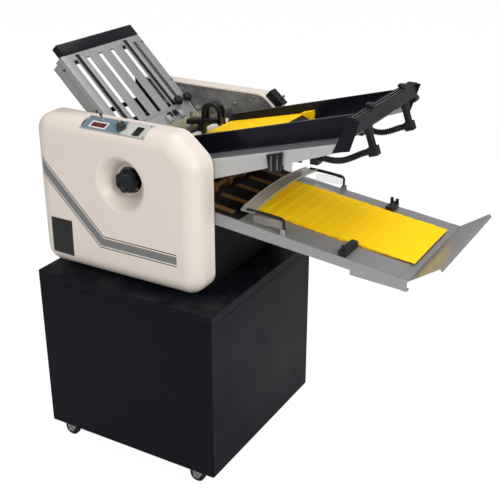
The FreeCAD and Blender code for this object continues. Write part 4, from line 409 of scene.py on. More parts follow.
def shifted(base, x, y, z):
    return base @ Matrix.Translation(at(x, y, z))


foldFrame = slopeFrame(-367.7, 1019.1, 45)
panelFrame = Matrix.Translation(at(-436, -204, 1064)) @ Matrix.Rotation(math.radians(21.5), 4, "X")
frontFacing = Matrix.Rotation(math.radians(90), 4, "X")  # local Z leaves the machine towards the operator


def onTable(x, up=0.0):
    return x, 993.7 + (x + 51) * math.tan(math.radians(15.4)) + up


def onTray(x, up=0.0):
    return x, 838 - (x + 51) * math.tan(math.radians(7)) + up


# mesh tools; sizes go in as millimetres
def makePiece(name, build, finishName, body, replaced=(), smooth=35.0, soft=0.0):
    mesh = bpy.data.meshes.new(name)
    form = bmesh.new()
    build(form)
    bmesh.ops.recalc_face_normals(form, faces=form.faces)
    if soft:
        sharp = [edge for edge in form.edges if edge.is_manifold and edge.calc_face_angle() > 0.5]
        bmesh.ops.bevel(form, geom=sharp, offset=soft * mm, segments=2, profile=0.5, affect="EDGES",
            clamp_overlap=True)
    form.to_mesh(mesh)
    form.free()
    piece = bpy.data.objects.new(name, mesh)
    bpy.context.scene.collection.objects.link(piece)
    mesh.materials.append(finishes[finishName])
    if smooth:
        mesh.shade_smooth()
        mesh.set_sharp_from_angle(angle=math.radians(smooth))
    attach(piece, body)
    if replaced:
        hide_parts(*replaced)
    return piece


# rings of points joined into a tube, closed at both ends
def skinRings(form, rings):
    grid = [[form.verts.new(point) for point in ring] for ring in rings]
    around = len(grid[0])
    for first, second in zip(grid, grid[1:]):
        for number in range(around):
            following = (number + 1) % around
            form.faces.new((first[number], first[following], second[following], second[number]))
    form.faces.new(grid[0][::-1])
    form.faces.new(grid[-1])


def ringAlong(middle, axis, across, reach, steps):
    side = axis.cross(across)
    turns = [2 * math.pi * number / steps for number in range(steps)]
    return [middle + across * (reach * math.cos(turn)) + side * (reach * math.sin(turn)) for turn in turns]


# turned form: rows of (radius, height, share of the lobes) about the frame's own Z
def turned(form, place, rows, steps=48, lobes=0, depth=0.0):
    rings = []
    for radius, height, share in rows:
        ring = []
        for number in range(steps):
            turn = 2 * math.pi * number / steps
            reach = radius + depth * share * math.cos(lobes * turn)
            ring.append(place @ at(reach * math.cos(turn), reach * math.sin(turn), height))
        rings.append(ring)
    skinRings(form, rings)


axisOrder = {"X": (2, 0, 1), "Y": (0, 2, 1), "Z": (0, 1, 2)}


# prism: an outline in the two other axes, drawn out between low and high along one axis
def prism(form, outline, low, high, along="Z", place=Matrix()):
    order = axisOrder[along]
    ends = []
    for height in (low, high):
        points = [(u, v, height) for u, v in outline]
        ends.append([form.verts.new(place @ at(*(point[index] for index in order))) for point in points])
    first, second = ends
    form.faces.new(first[::-1])
    form.faces.new(second)
    for number in range(len(outline)):
        following = (number + 1) % len(outline)
        form.faces.new((first[number], first[following], second[following], second[number]))


# plate with one opening: two outlines with as many points each
def holedPlate(form, outer, inner, low, high, along="Z", place=Matrix()):
    order = axisOrder[along]
    loops = []
    for outline in (outer, inner):
        for height in (low, high):
            points = [(u, v, height) for u, v in outline]
            loops.append([form.verts.new(place @ at(*(point[index] for index in order))) for point in points])
    outerLow, outerHigh, innerLow, innerHigh = loops
    for number in range(len(outer)):
        following = (number + 1) % len(outer)
        for first, second in ((outerLow, outerHigh), (outerHigh, innerHigh), (innerHigh, innerLow), (innerLow,
            outerLow)):
            form.faces.new((first[number], first[following], second[following], second[number]))


def rounded(left, right, low, high, radius, steps=4):
    points = []
    corners = ((right - radius, high - radius, 0), (left + radius, high - radius, 90),
               (left + radius, low + radius, 180), (right - radius, low + radius, 270))
    for x, y, start in corners:
        for number in range(steps + 1):
            turn = math.radians(start + 90 * number / steps)
            points.append((x + radius * math.cos(turn), y + radius * math.sin(turn)))
    return points


screwLook = {"radius": 4.2, "tall": 2.4, "socket": 1.9}


# a button-head screw with a hexagon socket
def screw(form, place, radius=screwLook["radius"]):
    share = radius / screwLook["radius"]
    tall = screwLook["tall"] * share
    rows = [(radius, -0.3, 0), (radius, tall * 0.35, 0), (radius * 0.86, tall * 0.75, 0), (radius * 0.62, tall, 0)]
    rows += [(screwLook["socket"] * share, tall, 0), (screwLook["socket"] * share * 0.96, tall * 0.3, 0)]
    turned(form, place, rows, steps=18)


# evenly spaced points along a NURBS spline through control points given in millimetres
def splinePoints(points, step):
    curve = bpy.data.curves.new("routeLine", "CURVE")
    curve.dimensions = "3D"
    curve.resolution_u = 24
    spline = curve.splines.new("NURBS")
    spline.points.add(len(points) - 1)
    for place, point in zip(spline.points, points):
        place.co = (*(part * mm for part in point), 1.0)
    spline.order_u = 3
    spline.use_endpoint_u = True
    holder = bpy.data.objects.new("routeLine", curve)
    bpy.context.scene.collection.objects.link(holder)
    line = bpy.data.meshes.new_from_object(holder)
    raw = [vertex.co.copy() for vertex in line.vertices]
    bpy.data.objects.remove(holder)
    bpy.data.meshes.remove(line)
    total = sum((b - a).length for a, b in zip(raw, raw[1:]))
    count = max(2, round(total / (step * mm)))
    spots, walked, index = [raw[0]], 0.0, 0
    for number in range(1, count):
        target = total * number / count
        while walked + (raw[index + 1] - raw[index]).length < target:
            walked += (raw[index + 1] - raw[index]).length
            index += 1
        span = raw[index + 1] - raw[index]
        spots.append(raw[index] + span * ((target - walked) / span.length))
    spots.append(raw[-1])
    return spots, total


# a round tube through points, its radius given by a rule of the point's number
def tube(form, spots, reachOf, steps):
    across = Vector((0, 0, 1))
    if abs((spots[1] - spots[0]).normalized().z) > 0.9:
        across = Vector((1, 0, 0))
    rings = []
    for number, spot in enumerate(spots):
        ahead = spots[min(number + 1, len(spots) - 1)] - spots[max(number - 1, 0)]
        axis = ahead.normalized()
        across = (across - axis * across.dot(axis)).normalized()
        rings.append(ringAlong(spot, axis, across, reachOf(number) * mm, steps))
    skinRings(form, rings)


# ribbed air hoses between the fittings under the beam and the ports under the table
hoseLook = {"ribPitch": 5.4, "radius": 9.0, "valley": 7.1, "stepsPerRib": 8, "around": 24, "cuff": 11.0,
    "cuffRadius": 8.6}
hoseRoutes = {
    "nearAirHose": ("near_air_hose", [(353.17, -80, 1052.35), (336.2, -80, 1046.3), (318, -93, 1036), (296, -112,
        1028),
                                      (275, -129, 1030), (260, -135, 1034), (243, -135, 1034)]),
    "farAirHose": ("far_air_hose", [(353.17, 170, 1052.35), (336.2, 170, 1046.3), (316, 166, 1036), (294, 158, 1029),
                                    (274, 151, 1030), (260, 150, 1034), (243, 150, 1034)]),
}


def makeHose(name, nodeName, route, values):
    step = values["ribPitch"] / values["stepsPerRib"]
    spots, total = splinePoints(route, step)

    def reachOf(number):
        endGap = min(number, len(spots) - 1 - number) * step
        if endGap < values["cuff"]:
            return values["cuffRadius"] if endGap < values["cuff"] - 2 else values["valley"]
        wave = 0.5 - 0.5 * math.cos(2 * math.pi * number / values["stepsPerRib"])
        return values["valley"] + (values["radius"] - values["valley"]) * min(1.0, 1.35 * wave)

    hose = makePiece(
        name, lambda form: tube(form, spots, reachOf, values["around"]), "hoseBlack", "machine", [nodeName], 30.0)


for name, (nodeName, route) in hoseRoutes.items():
    makeHose(name, nodeName, route, hoseLook)
print("air hoses made")

# control panel: two label films, a counter with its white frame, switch frames, and a dial with a white line painted
# as its highlight
panelLook = {
    "top": 2.5, "film": 0.25, "blue": (3, 134), "grey": (134.6, 215), "span": (-57, -4), "filmCorner": 2.0,
    "counter": (52, -38), "counterOuter": (29.2, 14.2), "counterInner": (24.8, 9.8), "counterTall": 2.4,
    "rocker": (184, -36), "rockerOuter": (11.2, 18.2), "rockerInner": (8.35, 15.35), "rockerTall": 2.3,
    "dial": (126, -32), "toggle": (45, -11), "digits": 4, "digitWide": 6.2, "digitTall": 11.0, "digitPitch": 9.6,
    "digitLean": 0.12, "digitBar": 0.5, "screwColumns": (7.5, 209.5), "screwRows": (-6.5, -53.5), "screwRadius": 2.2,
    "ticks": 11, "tickStart": -135, "tickTurn": 27, "tick": [(-0.45, 16.8), (0.45, 16.8), (0.45, 19.6), (-0.45, 19.6)],
    "tickProud": 0.12, "nutRows": [(6.4, -0.2, 0), (6.4, 2.0, 0), (5.6, 2.6, 0), (4.9, 2.6, 0), (4.7, 0.2, 0)],
    "dialRows": [(14.6, 0.5, 0), (15, 1.2, 0), (15, 3.4, 0), (13.2, 4.6, 0.2), (12.7, 5.4, 1), (12, 14.6, 1),
                 (11.2, 15.7, 0.6), (9.6, 16, 0), (8.8, 15.5, 0)],
    "dialLobes": {"steps": 96, "lobes": 16, "depth": 0.45}, "highlightLineTurn": 40, "highlightLineSpan": (15.2, 16.1),
    "highlightLine": [(-0.6, 2.5), (0.6, 2.5), (0.6, 11.4), (-0.6, 11.4)],
}


def oval(middle, half, radius):
    (x, y), (wide, tall) = middle, half
    return rounded(x - wide, x + wide, y - tall, y + tall, radius)


def makePanel(values):
    top = values["top"]
    skin = top + values["film"]

    def film(left, right):
        outline = rounded(left, right, *values["span"], values["filmCorner"])
        return lambda form: prism(form, outline, top - 0.2, skin, place=panelFrame)

    makePiece("panelLabelBlue", film(*values["blue"]), "labelBlue", "machine")
    makePiece("panelLabelGrey", film(*values["grey"]), "labelGrey", "machine")

    def bezel(kind, corner):
        outer = oval(values[kind], values[kind + "Outer"], corner)
        inner = oval(values[kind], values[kind + "Inner"], corner * 0.6)
        return lambda form: holedPlate(form, outer, inner, top - 0.2, top + values[kind + "Tall"], place=panelFrame)

    makePiece("counterBezel", bezel("counter", 2.4), "bezelWhite", "machine", soft=0.7)
    makePiece("rockerBezel", bezel("rocker", 2.4), "switchBlack", "machine", soft=0.6)

    def window(form):
        x, y = values["counter"]
        wide, tall = values["counterInner"]
        outline = rounded(x - wide + 0.2, x + wide - 0.2, y - tall + 0.2, y + tall - 0.2, 1.2)
        prism(form, outline, top - 0.2, skin + 0.5, place=panelFrame)

    makePiece("counterWindow", window, "counterRed", "machine", soft=0.3)

    # a seven-bar nought for each place of the counter
    def digits(form):
        x, y = values["counter"]
        wide, tall = values["digitWide"] / 2, values["digitTall"] / 2
        thick = values["digitBar"]
        bars = [((0, tall), (wide - 0.9, thick)), ((0, -tall), (wide - 0.9, thick))]
        for side in (-wide, wide):
            bars += [((side, tall / 2), (thick, tall / 2 - 0.7)), ((side, -tall / 2), (thick, tall / 2 - 0.7))]
        for number in range(values["digits"]):
            start = x + (number - (values["digits"] - 1) / 2) * values["digitPitch"]
            for (across, up), half in bars:
                outline = oval((start + across + up * values["digitLean"], y + up), half, 0.3)
                prism(form, outline, skin + 0.3, skin + 0.62, place=panelFrame)

    makePiece("counterDigits", digits, "digitRed", "machine")

    def screws(form):
        for x in values["screwColumns"]:
            for y in values["screwRows"]:
                screw(form, shifted(panelFrame, x, y, skin), values["screwRadius"])

    makePiece("panelScrews", screws, "screwDark", "machine", smooth=40)

    def ticks(form):
        middle = shifted(panelFrame, *values["dial"], 0)
        for number in range(values["ticks"]):
            turn = values["tickStart"] + values["tickTurn"] * number
            place = middle @ Matrix.Rotation(math.radians(turn), 4, "Z")
            prism(form, values["tick"], top, skin + values["tickProud"], place=place)

    makePiece("dialTicks", ticks, "tickWhite", "machine")

    def nut(form):
        turned(form, shifted(panelFrame, *values["toggle"], skin), values["nutRows"], steps=6)

    makePiece("toggleNut", nut, "toggleChrome", "machine", smooth=0)

    def dial(form):
        turned(form, shifted(panelFrame, *values["dial"], top), values["dialRows"], **values["dialLobes"])

    makePiece("speedDial", dial, "speedDial", "speed_knob", ["speed_knob"], smooth=40)

    # white line on the dial's top: a painted highlight
    def highlightLine(form):
        middle = shifted(panelFrame, *values["dial"], top)
        place = middle @ Matrix.Rotation(math.radians(values["highlightLineTurn"]), 4, "Z")
        prism(form, values["highlightLine"], *values["highlightLineSpan"], place=place)

    makePiece("dialHighlightLine", highlightLine, "tickWhite", "speed_knob")


makePanel(panelLook)
print("control panel dressed")

# hand knobs: rows of radius, height and share of the lobes
knobLook = {
    "wheel": {"lobes": 7, "depth": 1.7, "steps": 126},
    "star": {"lobes": 5, "depth": 1.5, "steps": 60},
    "fluted": {"lobes": 12, "depth": 0.5, "steps": 72},
}
wheelRows = [(12, 0, 0), (12, 14, 0), (30.5, 16, 0.4), (32.6, 18.5, 1), (33.3, 24, 1), (33.1, 31, 1), (31.6, 36.4, 1),
             (28.4, 39.8, 0.8), (24.6, 41.1, 0.3), (21, 40.6, 0), (17.5, 37.6, 0), (14.6, 36.6, 0), (12.4, 37.4, 0),
             (10.6, 38.6, 0), (6.2, 39.4, 0), (4.2, 38.9, 0), (3.6, 37.2, 0)]
starRows = [(5, -0.4, 0), (5, 4.5, 0), (9, 5.6, 0), (13, 7, 0.7), (14.2, 8.5, 1), (14.2, 16.2, 1), (12.8, 18.8, 0.8),
            (9, 19.9, 0.2), (5, 20, 0)]
lockRows = [(8, 0, 0), (8, 2.6, 0), (6.4, 3, 0), (6.4, 3.8, 0), (10, 4.6, 0.8), (10.8, 5.6, 1), (10.8, 10.6, 1),
            (9.6, 12.4, 0.8), (7, 13, 0.2), (4, 12.8, 0)]
valveRows = [(4.6, 0, 0), (4.6, 3, 0), (8.6, 3.4, 0.4), (9.4, 4.4, 1), (9.4, 28, 1), (8.4, 30.2, 0.6), (6, 30.7, 0)]
plainKnobs = {
    "handWheel": ("handwheel", Matrix.Translation(at(-301, -211.7, 902)) @ frontFacing, wheelRows, "wheel"),
    "plateKnobNear": ("plate_knob_1", shifted(foldFrame, -14, 130, 0), starRows, "star"),
    "plateKnobFar": ("plate_knob_2", shifted(foldFrame, -14, 178, 0), starRows, "star"),
    "guideKnobNear": ("near_guide_knob", Matrix.Translation(at(344.5, -69, 1163)), lockRows, "star"),
    "guideKnobFar": ("far_guide_knob", Matrix.Translation(at(344.5, 147, 1163)), lockRows, "star"),
    "valveKnob": ("air_valve_knob", Matrix.Translation(at(346, 232.3, 1112)) @ frontFacing.inverted(), valveRows,
        "fluted"),
}
for name, (nodeName, place, rows, kind) in plainKnobs.items():
    makePiece(
        name, lambda form: turned(form, place, rows,
            **knobLook[kind]), "wheelBlack" if kind == "wheel" else "knobBlack",
        nodeName, [nodeName], smooth=40)
print("knobs made")

# a flat sheet with square openings: the lists give its grid lines, and the open cells are left out
def cellPlate(form, alongLines, acrossLines, isOpen, low, high, place):
    spots = {}

    def corner(u, v, height):
        key = (u, v, height)
        if key not in spots:
            spots[key] = form.verts.new(place @ at(alongLines[u], acrossLines[v], height))
        return spots[key]

    def solid(u, v):
        inside = 0 <= u < len(alongLines) - 1 and 0 <= v < len(acrossLines) - 1
        return inside and not isOpen((alongLines[u] + alongLines[u + 1]) / 2,
            (acrossLines[v] + acrossLines[v + 1]) / 2)

    for u in range(len(alongLines) - 1):
        for v in range(len(acrossLines) - 1):
            if not solid(u, v):
                continue
            around = ((u, v), (u + 1, v), (u + 1, v + 1), (u, v + 1))
            for height in (low, high):
                form.faces.new([corner(*spot, height) for spot in around])
            for number, (beside, across) in enumerate(((u, v - 1), (u + 1, v), (u, v + 1), (u - 1, v))):
                if not solid(beside, across):
                    first, second = around[number], around[(number + 1) % 4]
                    form.faces.new((corner(*first, low), corner(*second, low), corner(*second, high), corner(*first,
                        high)))


# fold plate: slotted sheets between outlined cheeks, rods below, a stop across them and a bar at the open end
plateLook = {
    "left": -268.0, "right": 0.0, "near": -177.0, "far": 190.0, "inset": 4.0, "sheetHeights": ((-3.0, 0.0), (-9.0,
        -7.0)),
    "slots": [-133.0, -76.5, -20.0, 36.5, 93.0, 149.5], "half": 9.0, "slotEnds": (-247.0, -9.0), "open": 12.0,
    "rods": (-113.0, 114.0), "rodHalf": 6.0, "rodEnds": (-262.0, -9.0),
    "mouth": 78.0, "mouthHeights": ((-3.0, -1.0), (-9.0, -7.0)), "mouthCorner": 0.5,
    "cheekThick": 3.0, "lowerStep": 1.0, "lug": (24.0, -14.0, 9.0), "lugSpans": ((-184.0, -174.0), (187.0, 233.0)),
    "upper": [(-268, -28), (0, -28), (78, -9), (78, -1), (0, -1), (0, -3), (-268, -3)],
    "lower": [(-262, -50), (-122, -50), (0, -28), (-262, -28)],
    "rodSpots": (-91.2, 135.8), "rodShape": (-270.0, 261.0, -17.0, 5.0), "tube": (-30.0, -40.0, 7.0),
    "latches": ((36, 54), (101, 119)), "latch": [(14, -1), (40, -1), (40, 4), (34, 9), (17, 9), (14, 6)],
    "shadeNotches": ((56, 70), (84, 98)), "shadeNotch": [(6, -1), (24, -1), (24, 4.5), (20, 6), (8, 6), (6, 4)],
    "farStrip": [(-45, -2.8), (50, -2.8), (50, 1.2), (-45, 1.2)], "farStripThick": 3.0,
    "bar": (-308.0, -268.0, -162.0, 189.0, -22.0, 2.0), "barEdge": 3.0, "rail": (5.8, 7.0, -2.8, 0.05, 1.0),
    "cheekScrews": ((-235.6, -18.7), (-86, -17.3)), "edgeScrews": ((-239.8, 185), (-88.5, 186)), "screwRadius": 3.6,
}
stopLook = {
    "x": -254.0, "half": 6.0, "span": (-173.7, 186.7), "heights": (-6.7, -3.3), "reach": 10.0,
    "carriages": ((-120.0, -84.0), (107.0, 143.0)), "carriageHeights": (-26.0, -9.3),
    "tabs": (-113, 114), "tabHalf": 4.0, "tabHeights": (-9.4, -6.6),
}


def makePlate(values):
    left, right, near, far, half, inset = (values[key] for key in ("left", "right", "near", "far", "half", "inset"))
    slotLow, slotHigh = values["slotEnds"]
    rodLow, rodHigh = values["rodEnds"]

    def inSlot(x, y, extra):
        return slotLow < x < slotHigh and any(slot - half < y < slot + half + extra for slot in values["slots"])

    def inRod(x, y):
        return rodLow < x < rodHigh and any(abs(y - rod) < values["rodHalf"] for rod in values["rods"])

    def acrossLines(low, high, extra, withRods):
        lines = {low, high}
        for slot in values["slots"]:
            lines |= {slot - half, slot + half + extra}
        if withRods:
            for rod in values["rods"]:
                lines |= {rod - values["rodHalf"], rod + values["rodHalf"]}
        return sorted(lines)

    def sheets(form):
        upper, lower = values["sheetHeights"]
        wide = values["open"]
        cellPlate(form, sorted({left, rodLow, slotLow, slotHigh, right}), acrossLines(near, far, 0, True),
                  lambda x, y: inSlot(x, y, 0) or inRod(x, y), *upper, foldFrame)
        cellPlate(form, [left, slotLow, slotHigh, right], acrossLines(near + inset, far - inset, wide, False),
                  lambda x, y: inSlot(x, y, wide), *lower, foldFrame)
        outline = rounded(right, values["mouth"], near + inset, far - inset, values["mouthCorner"])
        for low, high in values["mouthHeights"]:
            prism(form, outline, low, high, place=foldFrame)

    makePiece("plateSheets", sheets, "plateSheet", "machine", ["fold_plate"], soft=0.25)

    def cheeks(form):
        thick, step = values["cheekThick"], values["lowerStep"]
        for outline, inward in ((values["upper"], 0), (values["lower"], step)):
            for low in (near + inward, far - inward - thick):
                prism(form, outline, low, low + thick, "Y", foldFrame)
        x, z, radius = values["lug"]
        for low, high in values["lugSpans"]:
            place = shifted(foldFrame, x, low, z) @ frontFacing.inverted()
            turned(form, place, [(radius, 0, 0), (radius, high - low, 0)], steps=28)

    makePiece("plateCheeks", cheeks, "plateSheet", "machine", ["fold_plate"], soft=0.5)

    def rods(form):
        low, long, height, radius = values["rodShape"]
        for y in values["rodSpots"]:
            place = shifted(foldFrame, low, y, height) @ Matrix.Rotation(math.radians(90), 4, "Y")
            turned(form, place, [(radius, 0, 0), (radius, long, 0)], steps=20)
        x, z, radius = values["tube"]
        place = shifted(foldFrame, x, near + inset, z) @ frontFacing.inverted()
        turned(form, place, [(radius, 0, 0), (radius, far - near - 2 * inset, 0)], steps=24)

    makePiece("plateRods", rods, "screwDark", "machine", ["fold_plate"], smooth=40)

    def latches(form):
        for low, high in values["latches"]:
            prism(form, values["latch"], low, high, "Y", foldFrame)

    makePiece("plateLatches", latches, "latchSteelAndHighlight", "machine", ["fold_plate"], soft=0.8)

    # black plates in the plate's mouth, painted as the shade between the latches, and a black strip along the far edge
    def shadeNotches(form):
        for low, high in values["shadeNotches"]:
            prism(form, values["shadeNotch"], low, high, "Y", foldFrame)
        prism(form, values["farStrip"], far, far + values["farStripThick"], "Y", foldFrame)

    makePiece("plateMouthShade", shadeNotches, "switchBlack", "machine", soft=0.6)

    def bar(form):
        low, high, barNear, barFar, bottom, top = values["bar"]
        edge = values["barEdge"]
        outline = [(low, bottom + edge), (low + edge, bottom), (high, bottom), (high, top), (low + edge, top),
                   (low, top - edge)]
        prism(form, outline, barNear, barFar, "Y", foldFrame)

    makePiece("plateEndBar", bar, "barBlack", "machine", ["fold_plate_end_bar"], soft=1.0)

    # black rails filling the rod slots: painted shade seen through the slots
    def rails(form):
        stem, flange, low, step, top = values["rail"]
        for row in values["rods"]:
            outline = [(row - stem, low), (row + stem, low), (row + stem, step), (row + flange, step),
                       (row + flange, top), (row - flange, top), (row - flange, step), (row - stem, step)]
            prism(form, outline, rodLow, rodHigh, "X", foldFrame)

    makePiece("plateRodSlotShade", rails, "switchBlack", "machine")

    def screws(form):
        for x, z in values["cheekScrews"]:
            screw(form, foldFrame @ Matrix.Translation(at(x, near, z)) @ frontFacing, values["screwRadius"])
        for x, y in values["edgeScrews"]:
            screw(form, shifted(foldFrame, x, y, 0), values["screwRadius"])

    makePiece("plateScrews", screws, "screwDark", "machine", smooth=40)


def makeStop(values):
    def box(form, half, heights, low, high):
        x, (bottom, top) = values["x"], heights
        prism(form, [(x - half, bottom), (x + half, bottom), (x + half, top), (x - half, top)], low, high, "Y",
            foldFrame)

    def build(form):
        box(form, values["half"], values["heights"], *values["span"])
        for low, high in values["carriages"]:
            box(form, values["reach"], values["carriageHeights"], low, high)
        for row in values["tabs"]:
            box(form, values["tabHalf"], values["tabHeights"], row - values["tabHalf"], row + values["tabHalf"])

    makePiece("foldStopBar", build, "switchBlack", "fold_stop", ["fold_stop"], soft=0.4)


makePlate(plateLook)
makeStop(stopLook)
print("fold plate made")


# a thin closed sheet over a grid; the rule gives the place of a corner for its share along and across
def slab(form, rule, stepsAlong, stepsAcross):
    layers = []
    for side in (0, 1):
        layers.append([[form.verts.new(rule(u / stepsAlong, v / stepsAcross, side)) for v in range(stepsAcross + 1)]
                       for u in range(stepsAlong + 1)])
    low, high = layers
    for u in range(stepsAlong):
        for v in range(stepsAcross):
            for grid in layers:
                form.faces.new((grid[u][v], grid[u + 1][v], grid[u + 1][v + 1], grid[u][v + 1]))
    edge = [(u, 0) for u in range(stepsAlong)] + [(stepsAlong, v) for v in range(stepsAcross)]
    edge += [(u, stepsAcross) for u in range(stepsAlong, 0, -1)] + [(0, v) for v in range(stepsAcross, 0, -1)]
    for (u, v), (w, t) in zip(edge, edge[1:] + edge[:1]):
        form.faces.new((low[u][v], low[w][t], high[w][t], high[u][v]))


# paper waiting on the feed table: a loose stack between the guides, with a block of it at the far tail, and a black
# wedge painted as the shadow under the raised tail
stackLook = {
    "left": -206.0, "right": 49.0, "near": -91.0, "far": 169.0, "layers": 16, "fillShare": 0.95, "up": 1.0,
    "thickLeft": 34.0, "thickRight": 27.0, "slip": 1.5, "leftShare": 0.3, "block": (44.0, 78.0, 145.0, 169.0, 31.0),
    "blockLayers": 8, "blockFillShare": 0.94, "blockSlip": 0.8, "wedge": (49.0, 78.0, -62.0, 144.0, 26.0),
    "wedgeFoot": 6.0,
}


def makeStack(values):
    def layers(form):
        for number in range(values["layers"]):
            slipLeft, slipRight, slipNear, slipFar = (chance.uniform(0, values["slip"]) for _ in range(4))

            def rule(u, v, side):
                start = values["leftShare"] * slipLeft
                x = values["left"] + start + u * (values["right"] - values["left"] - start - slipRight)
                y = values["near"] + slipNear + v * (values["far"] - values["near"] - slipNear - slipFar)
                along = (x - values["left"]) / (values["right"] - values["left"])
                thick = values["thickLeft"] + (values["thickRight"] - values["thickLeft"]) * along
                share = (number + side * values["fillShare"]) / values["layers"]
                return at(onTable(x)[0], y, onTable(x, values["up"] + (thick - values["up"]) * share)[1])

            slab(form, rule, 12, 3)

    makePiece("feedPaper", layers, "paperYellow", "machine", ["feed_stack"], smooth=25)

    def block(form):
        left, right, near, far, tall = values["block"]
        count, up = values["blockLayers"], values["up"]
        for number in range(count):
            low, high = up + tall * number / count, up + tall * (number + values["blockFillShare"]) / count
            slip = chance.uniform(0, values["blockSlip"])
            outline = [onTable(left, low), onTable(right - slip, low), onTable(right - slip, high), onTable(left,
                high)]
            prism(form, outline, near + slip, far - slip, "Y")

    makePiece("tailPaper", block, "paperYellow", "machine", ["feed_stack"])

    # black wedge under the raised tail: painted shadow
    def wedge(form):
        left, right, near, far, tall = values["wedge"]
        up, foot = values["up"], values["wedgeFoot"]
        prism(form, [onTable(left, up), onTable(right, up), onTable(right, foot), onTable(left, tall)], near, far,
            "Y")

    makePiece("tailShadeWedge", wedge, "innerBlackAndShade", "machine", ["feed_stack"])


makeStack(stackLook)

# folded sheets sliding out on the tray, each one over the one before it
sheetLook = {
    "count": 15, "pitch": 34.0, "long": 150.0, "thick": 1.5, "lead": 6.8, "slope": 0.036, "near": -90.0, "far": 169.0,
    "jitter": 1.6, "turn": 0.45, "wave": 0.35, "waves": 5.0, "start": -10.0, "lift": 0.5, "gap": 1.6,
    "slipShare": 0.9,
    "foldShare": 0.035, "foldDrop": 0.8, "tipShare": 0.98, "tipThick": 0.45, "halfWide": 130.0, "lowest": 0.15,
}


def makeFoldedSheets(values):
    middle = (values["near"] + values["far"]) / 2

    def sheets(form):
        for number in range(values["count"]):
            shift = chance.uniform(-values["jitter"], values["jitter"])
            turn = math.radians(chance.uniform(-values["turn"], values["turn"]))
            phase = chance.uniform(0, 6)
            lift = chance.uniform(0.0, values["lift"])
            lead = values["start"] + values["pitch"] * (number + 1)
            back = max(values["start"], lead - values["long"])
            slip = 0.0 if number in (0, values["count"] - 1) else shift

            def rule(u, v, side):
                x = back + u * (lead - back)
                gap, fold = values["gap"], values["foldShare"]
                y = values["near"] + gap + v * (values["far"] - values["near"] - 2 * gap) + values["slipShare"] * slip
                top = values["lead"] - (lead - x) * values["slope"] + lift
                top += values["wave"] * math.sin(values["waves"] * v + phase) * u
                top -= values["foldDrop"] * max(0.0, u - 1 + fold) / fold
                low = values["thick"] * (values["tipThick"] if u > values["tipShare"] else 1.0)
                skew = (y - middle) * turn - abs(turn) * values["halfWide"]
                place = onTray(x + skew, max(values["lowest"], top - (1 - side) * low))
                return at(place[0], y, place[1])

            slab(form, rule, 26, 10)

    makePiece("foldedSheets", sheets, "paperYellow", "machine", ["folded_sheets"], smooth=22)


makeFoldedSheets(sheetLook)
print("paper laid")

# trims: pale strips painted as highlights on the side guides' top edges, pale lines painted as highlights beside the
# beam's slot, black covers on hook and ports
trimLook = {
    "highlightLow": 54.6, "highlightHigh": 55.6, "guideLeft": -206, "guideRight": 326, "near": (-97.2, -92.8), "far": (170.8,
        175.2),
    "slotHighlights": (339.6, 348.6), "slotHighlightWide": 0.8, "slotHighlightSpan": (-165, 215), "slotHighlightHeights": (1162.8,
        1163.25),
    "hook": [(121.5, -55.6), (154.5, -55.6), (158.6, -4), (113.4, -4)], "hookSpan": (-186.8, -177.1),
    "hookScrews": (133, 147), "hookScrewFall": -16, "hookScrewSink": 0.2, "hookScrewRadius": 3.4,
    "hookLines": (127.6, 145.6),
    "hookLineWide": 1.4, "hookLineHeights": (-50, -9), "hookLineSpan": (-187.3, -186.7),
    "ports": (-135, 150), "port": (220.6, 243.4, 1016.6), "portFall": -2, "portHalf": 14.6,
    "wall": [(-50, 872), (12, 872), (12, 985), (-50, 985)], "wallSpan": (221, 224.5),
}


def makeTrims(values):
    # pale strips on the side guides' top edges: painted highlights
    for name, node, edges in (("nearGuideHighlight", "near_side_guide", "near"), ("farGuideHighlight", "far_side_guide", "far")):
        outline = [onTable(values["guideLeft"], values["highlightLow"]), onTable(values["guideRight"], values["highlightLow"]),
                   onTable(values["guideRight"], values["highlightHigh"]), onTable(values["guideLeft"], values["highlightHigh"])]
        makePiece(name, lambda form: prism(form, outline, *values[edges], "Y"), "guideEdgeHighlight", node)

    # pale lines along the slot's edges: painted highlights
    def slotHighlights(form):
        low, high = values["slotHighlightSpan"]
        for left in values["slotHighlights"]:
            right = left + values["slotHighlightWide"]
            prism(form, [(left, low), (right, low), (right, high), (left, high)], *values["slotHighlightHeights"])

    makePiece("beamSlotHighlights", slotHighlights, "latchSteelAndHighlight", "machine")

    def hook(form):
        prism(form, [onTable(x, up) for x, up in values["hook"]], *values["hookSpan"], "Y")
        for x in values["hookScrews"]:
            spot = at(x, values["hookSpan"][0] + values["hookScrewSink"], onTable(x, values["hookScrewFall"])[1])
            screw(form, Matrix.Translation(spot) @ frontFacing, values["hookScrewRadius"])

    makePiece("railHook", hook, "knobBlack", "machine", soft=0.8)

    def hookLines(form):
        low, high = values["hookLineHeights"]
        for left in values["hookLines"]:
            right = left + values["hookLineWide"]
            outline = [onTable(left, low), onTable(right, low), onTable(right, high), onTable(left, high)]
            prism(form, outline, *values["hookLineSpan"], "Y")

    makePiece("railHookLines", hookLines, "latchSteelAndHighlight", "machine")

    def wall(form):
        prism(form, values["wall"], *values["wallSpan"], "Y")

    makePiece("outletWall", wall, "innerBlackAndShade", "machine")

    def ports(form):
        left, right, low = values["port"]
        top, half = onTable(left, values["portFall"])[1], values["portHalf"]
        for y in values["ports"]:
            prism(form, [(left, low), (right, low), (right, top), (left, top)], y - half, y + half, "Y")

    makePiece("portCovers", ports, "fittingBlack", "machine", soft=1.2)


makeTrims(trimLook)

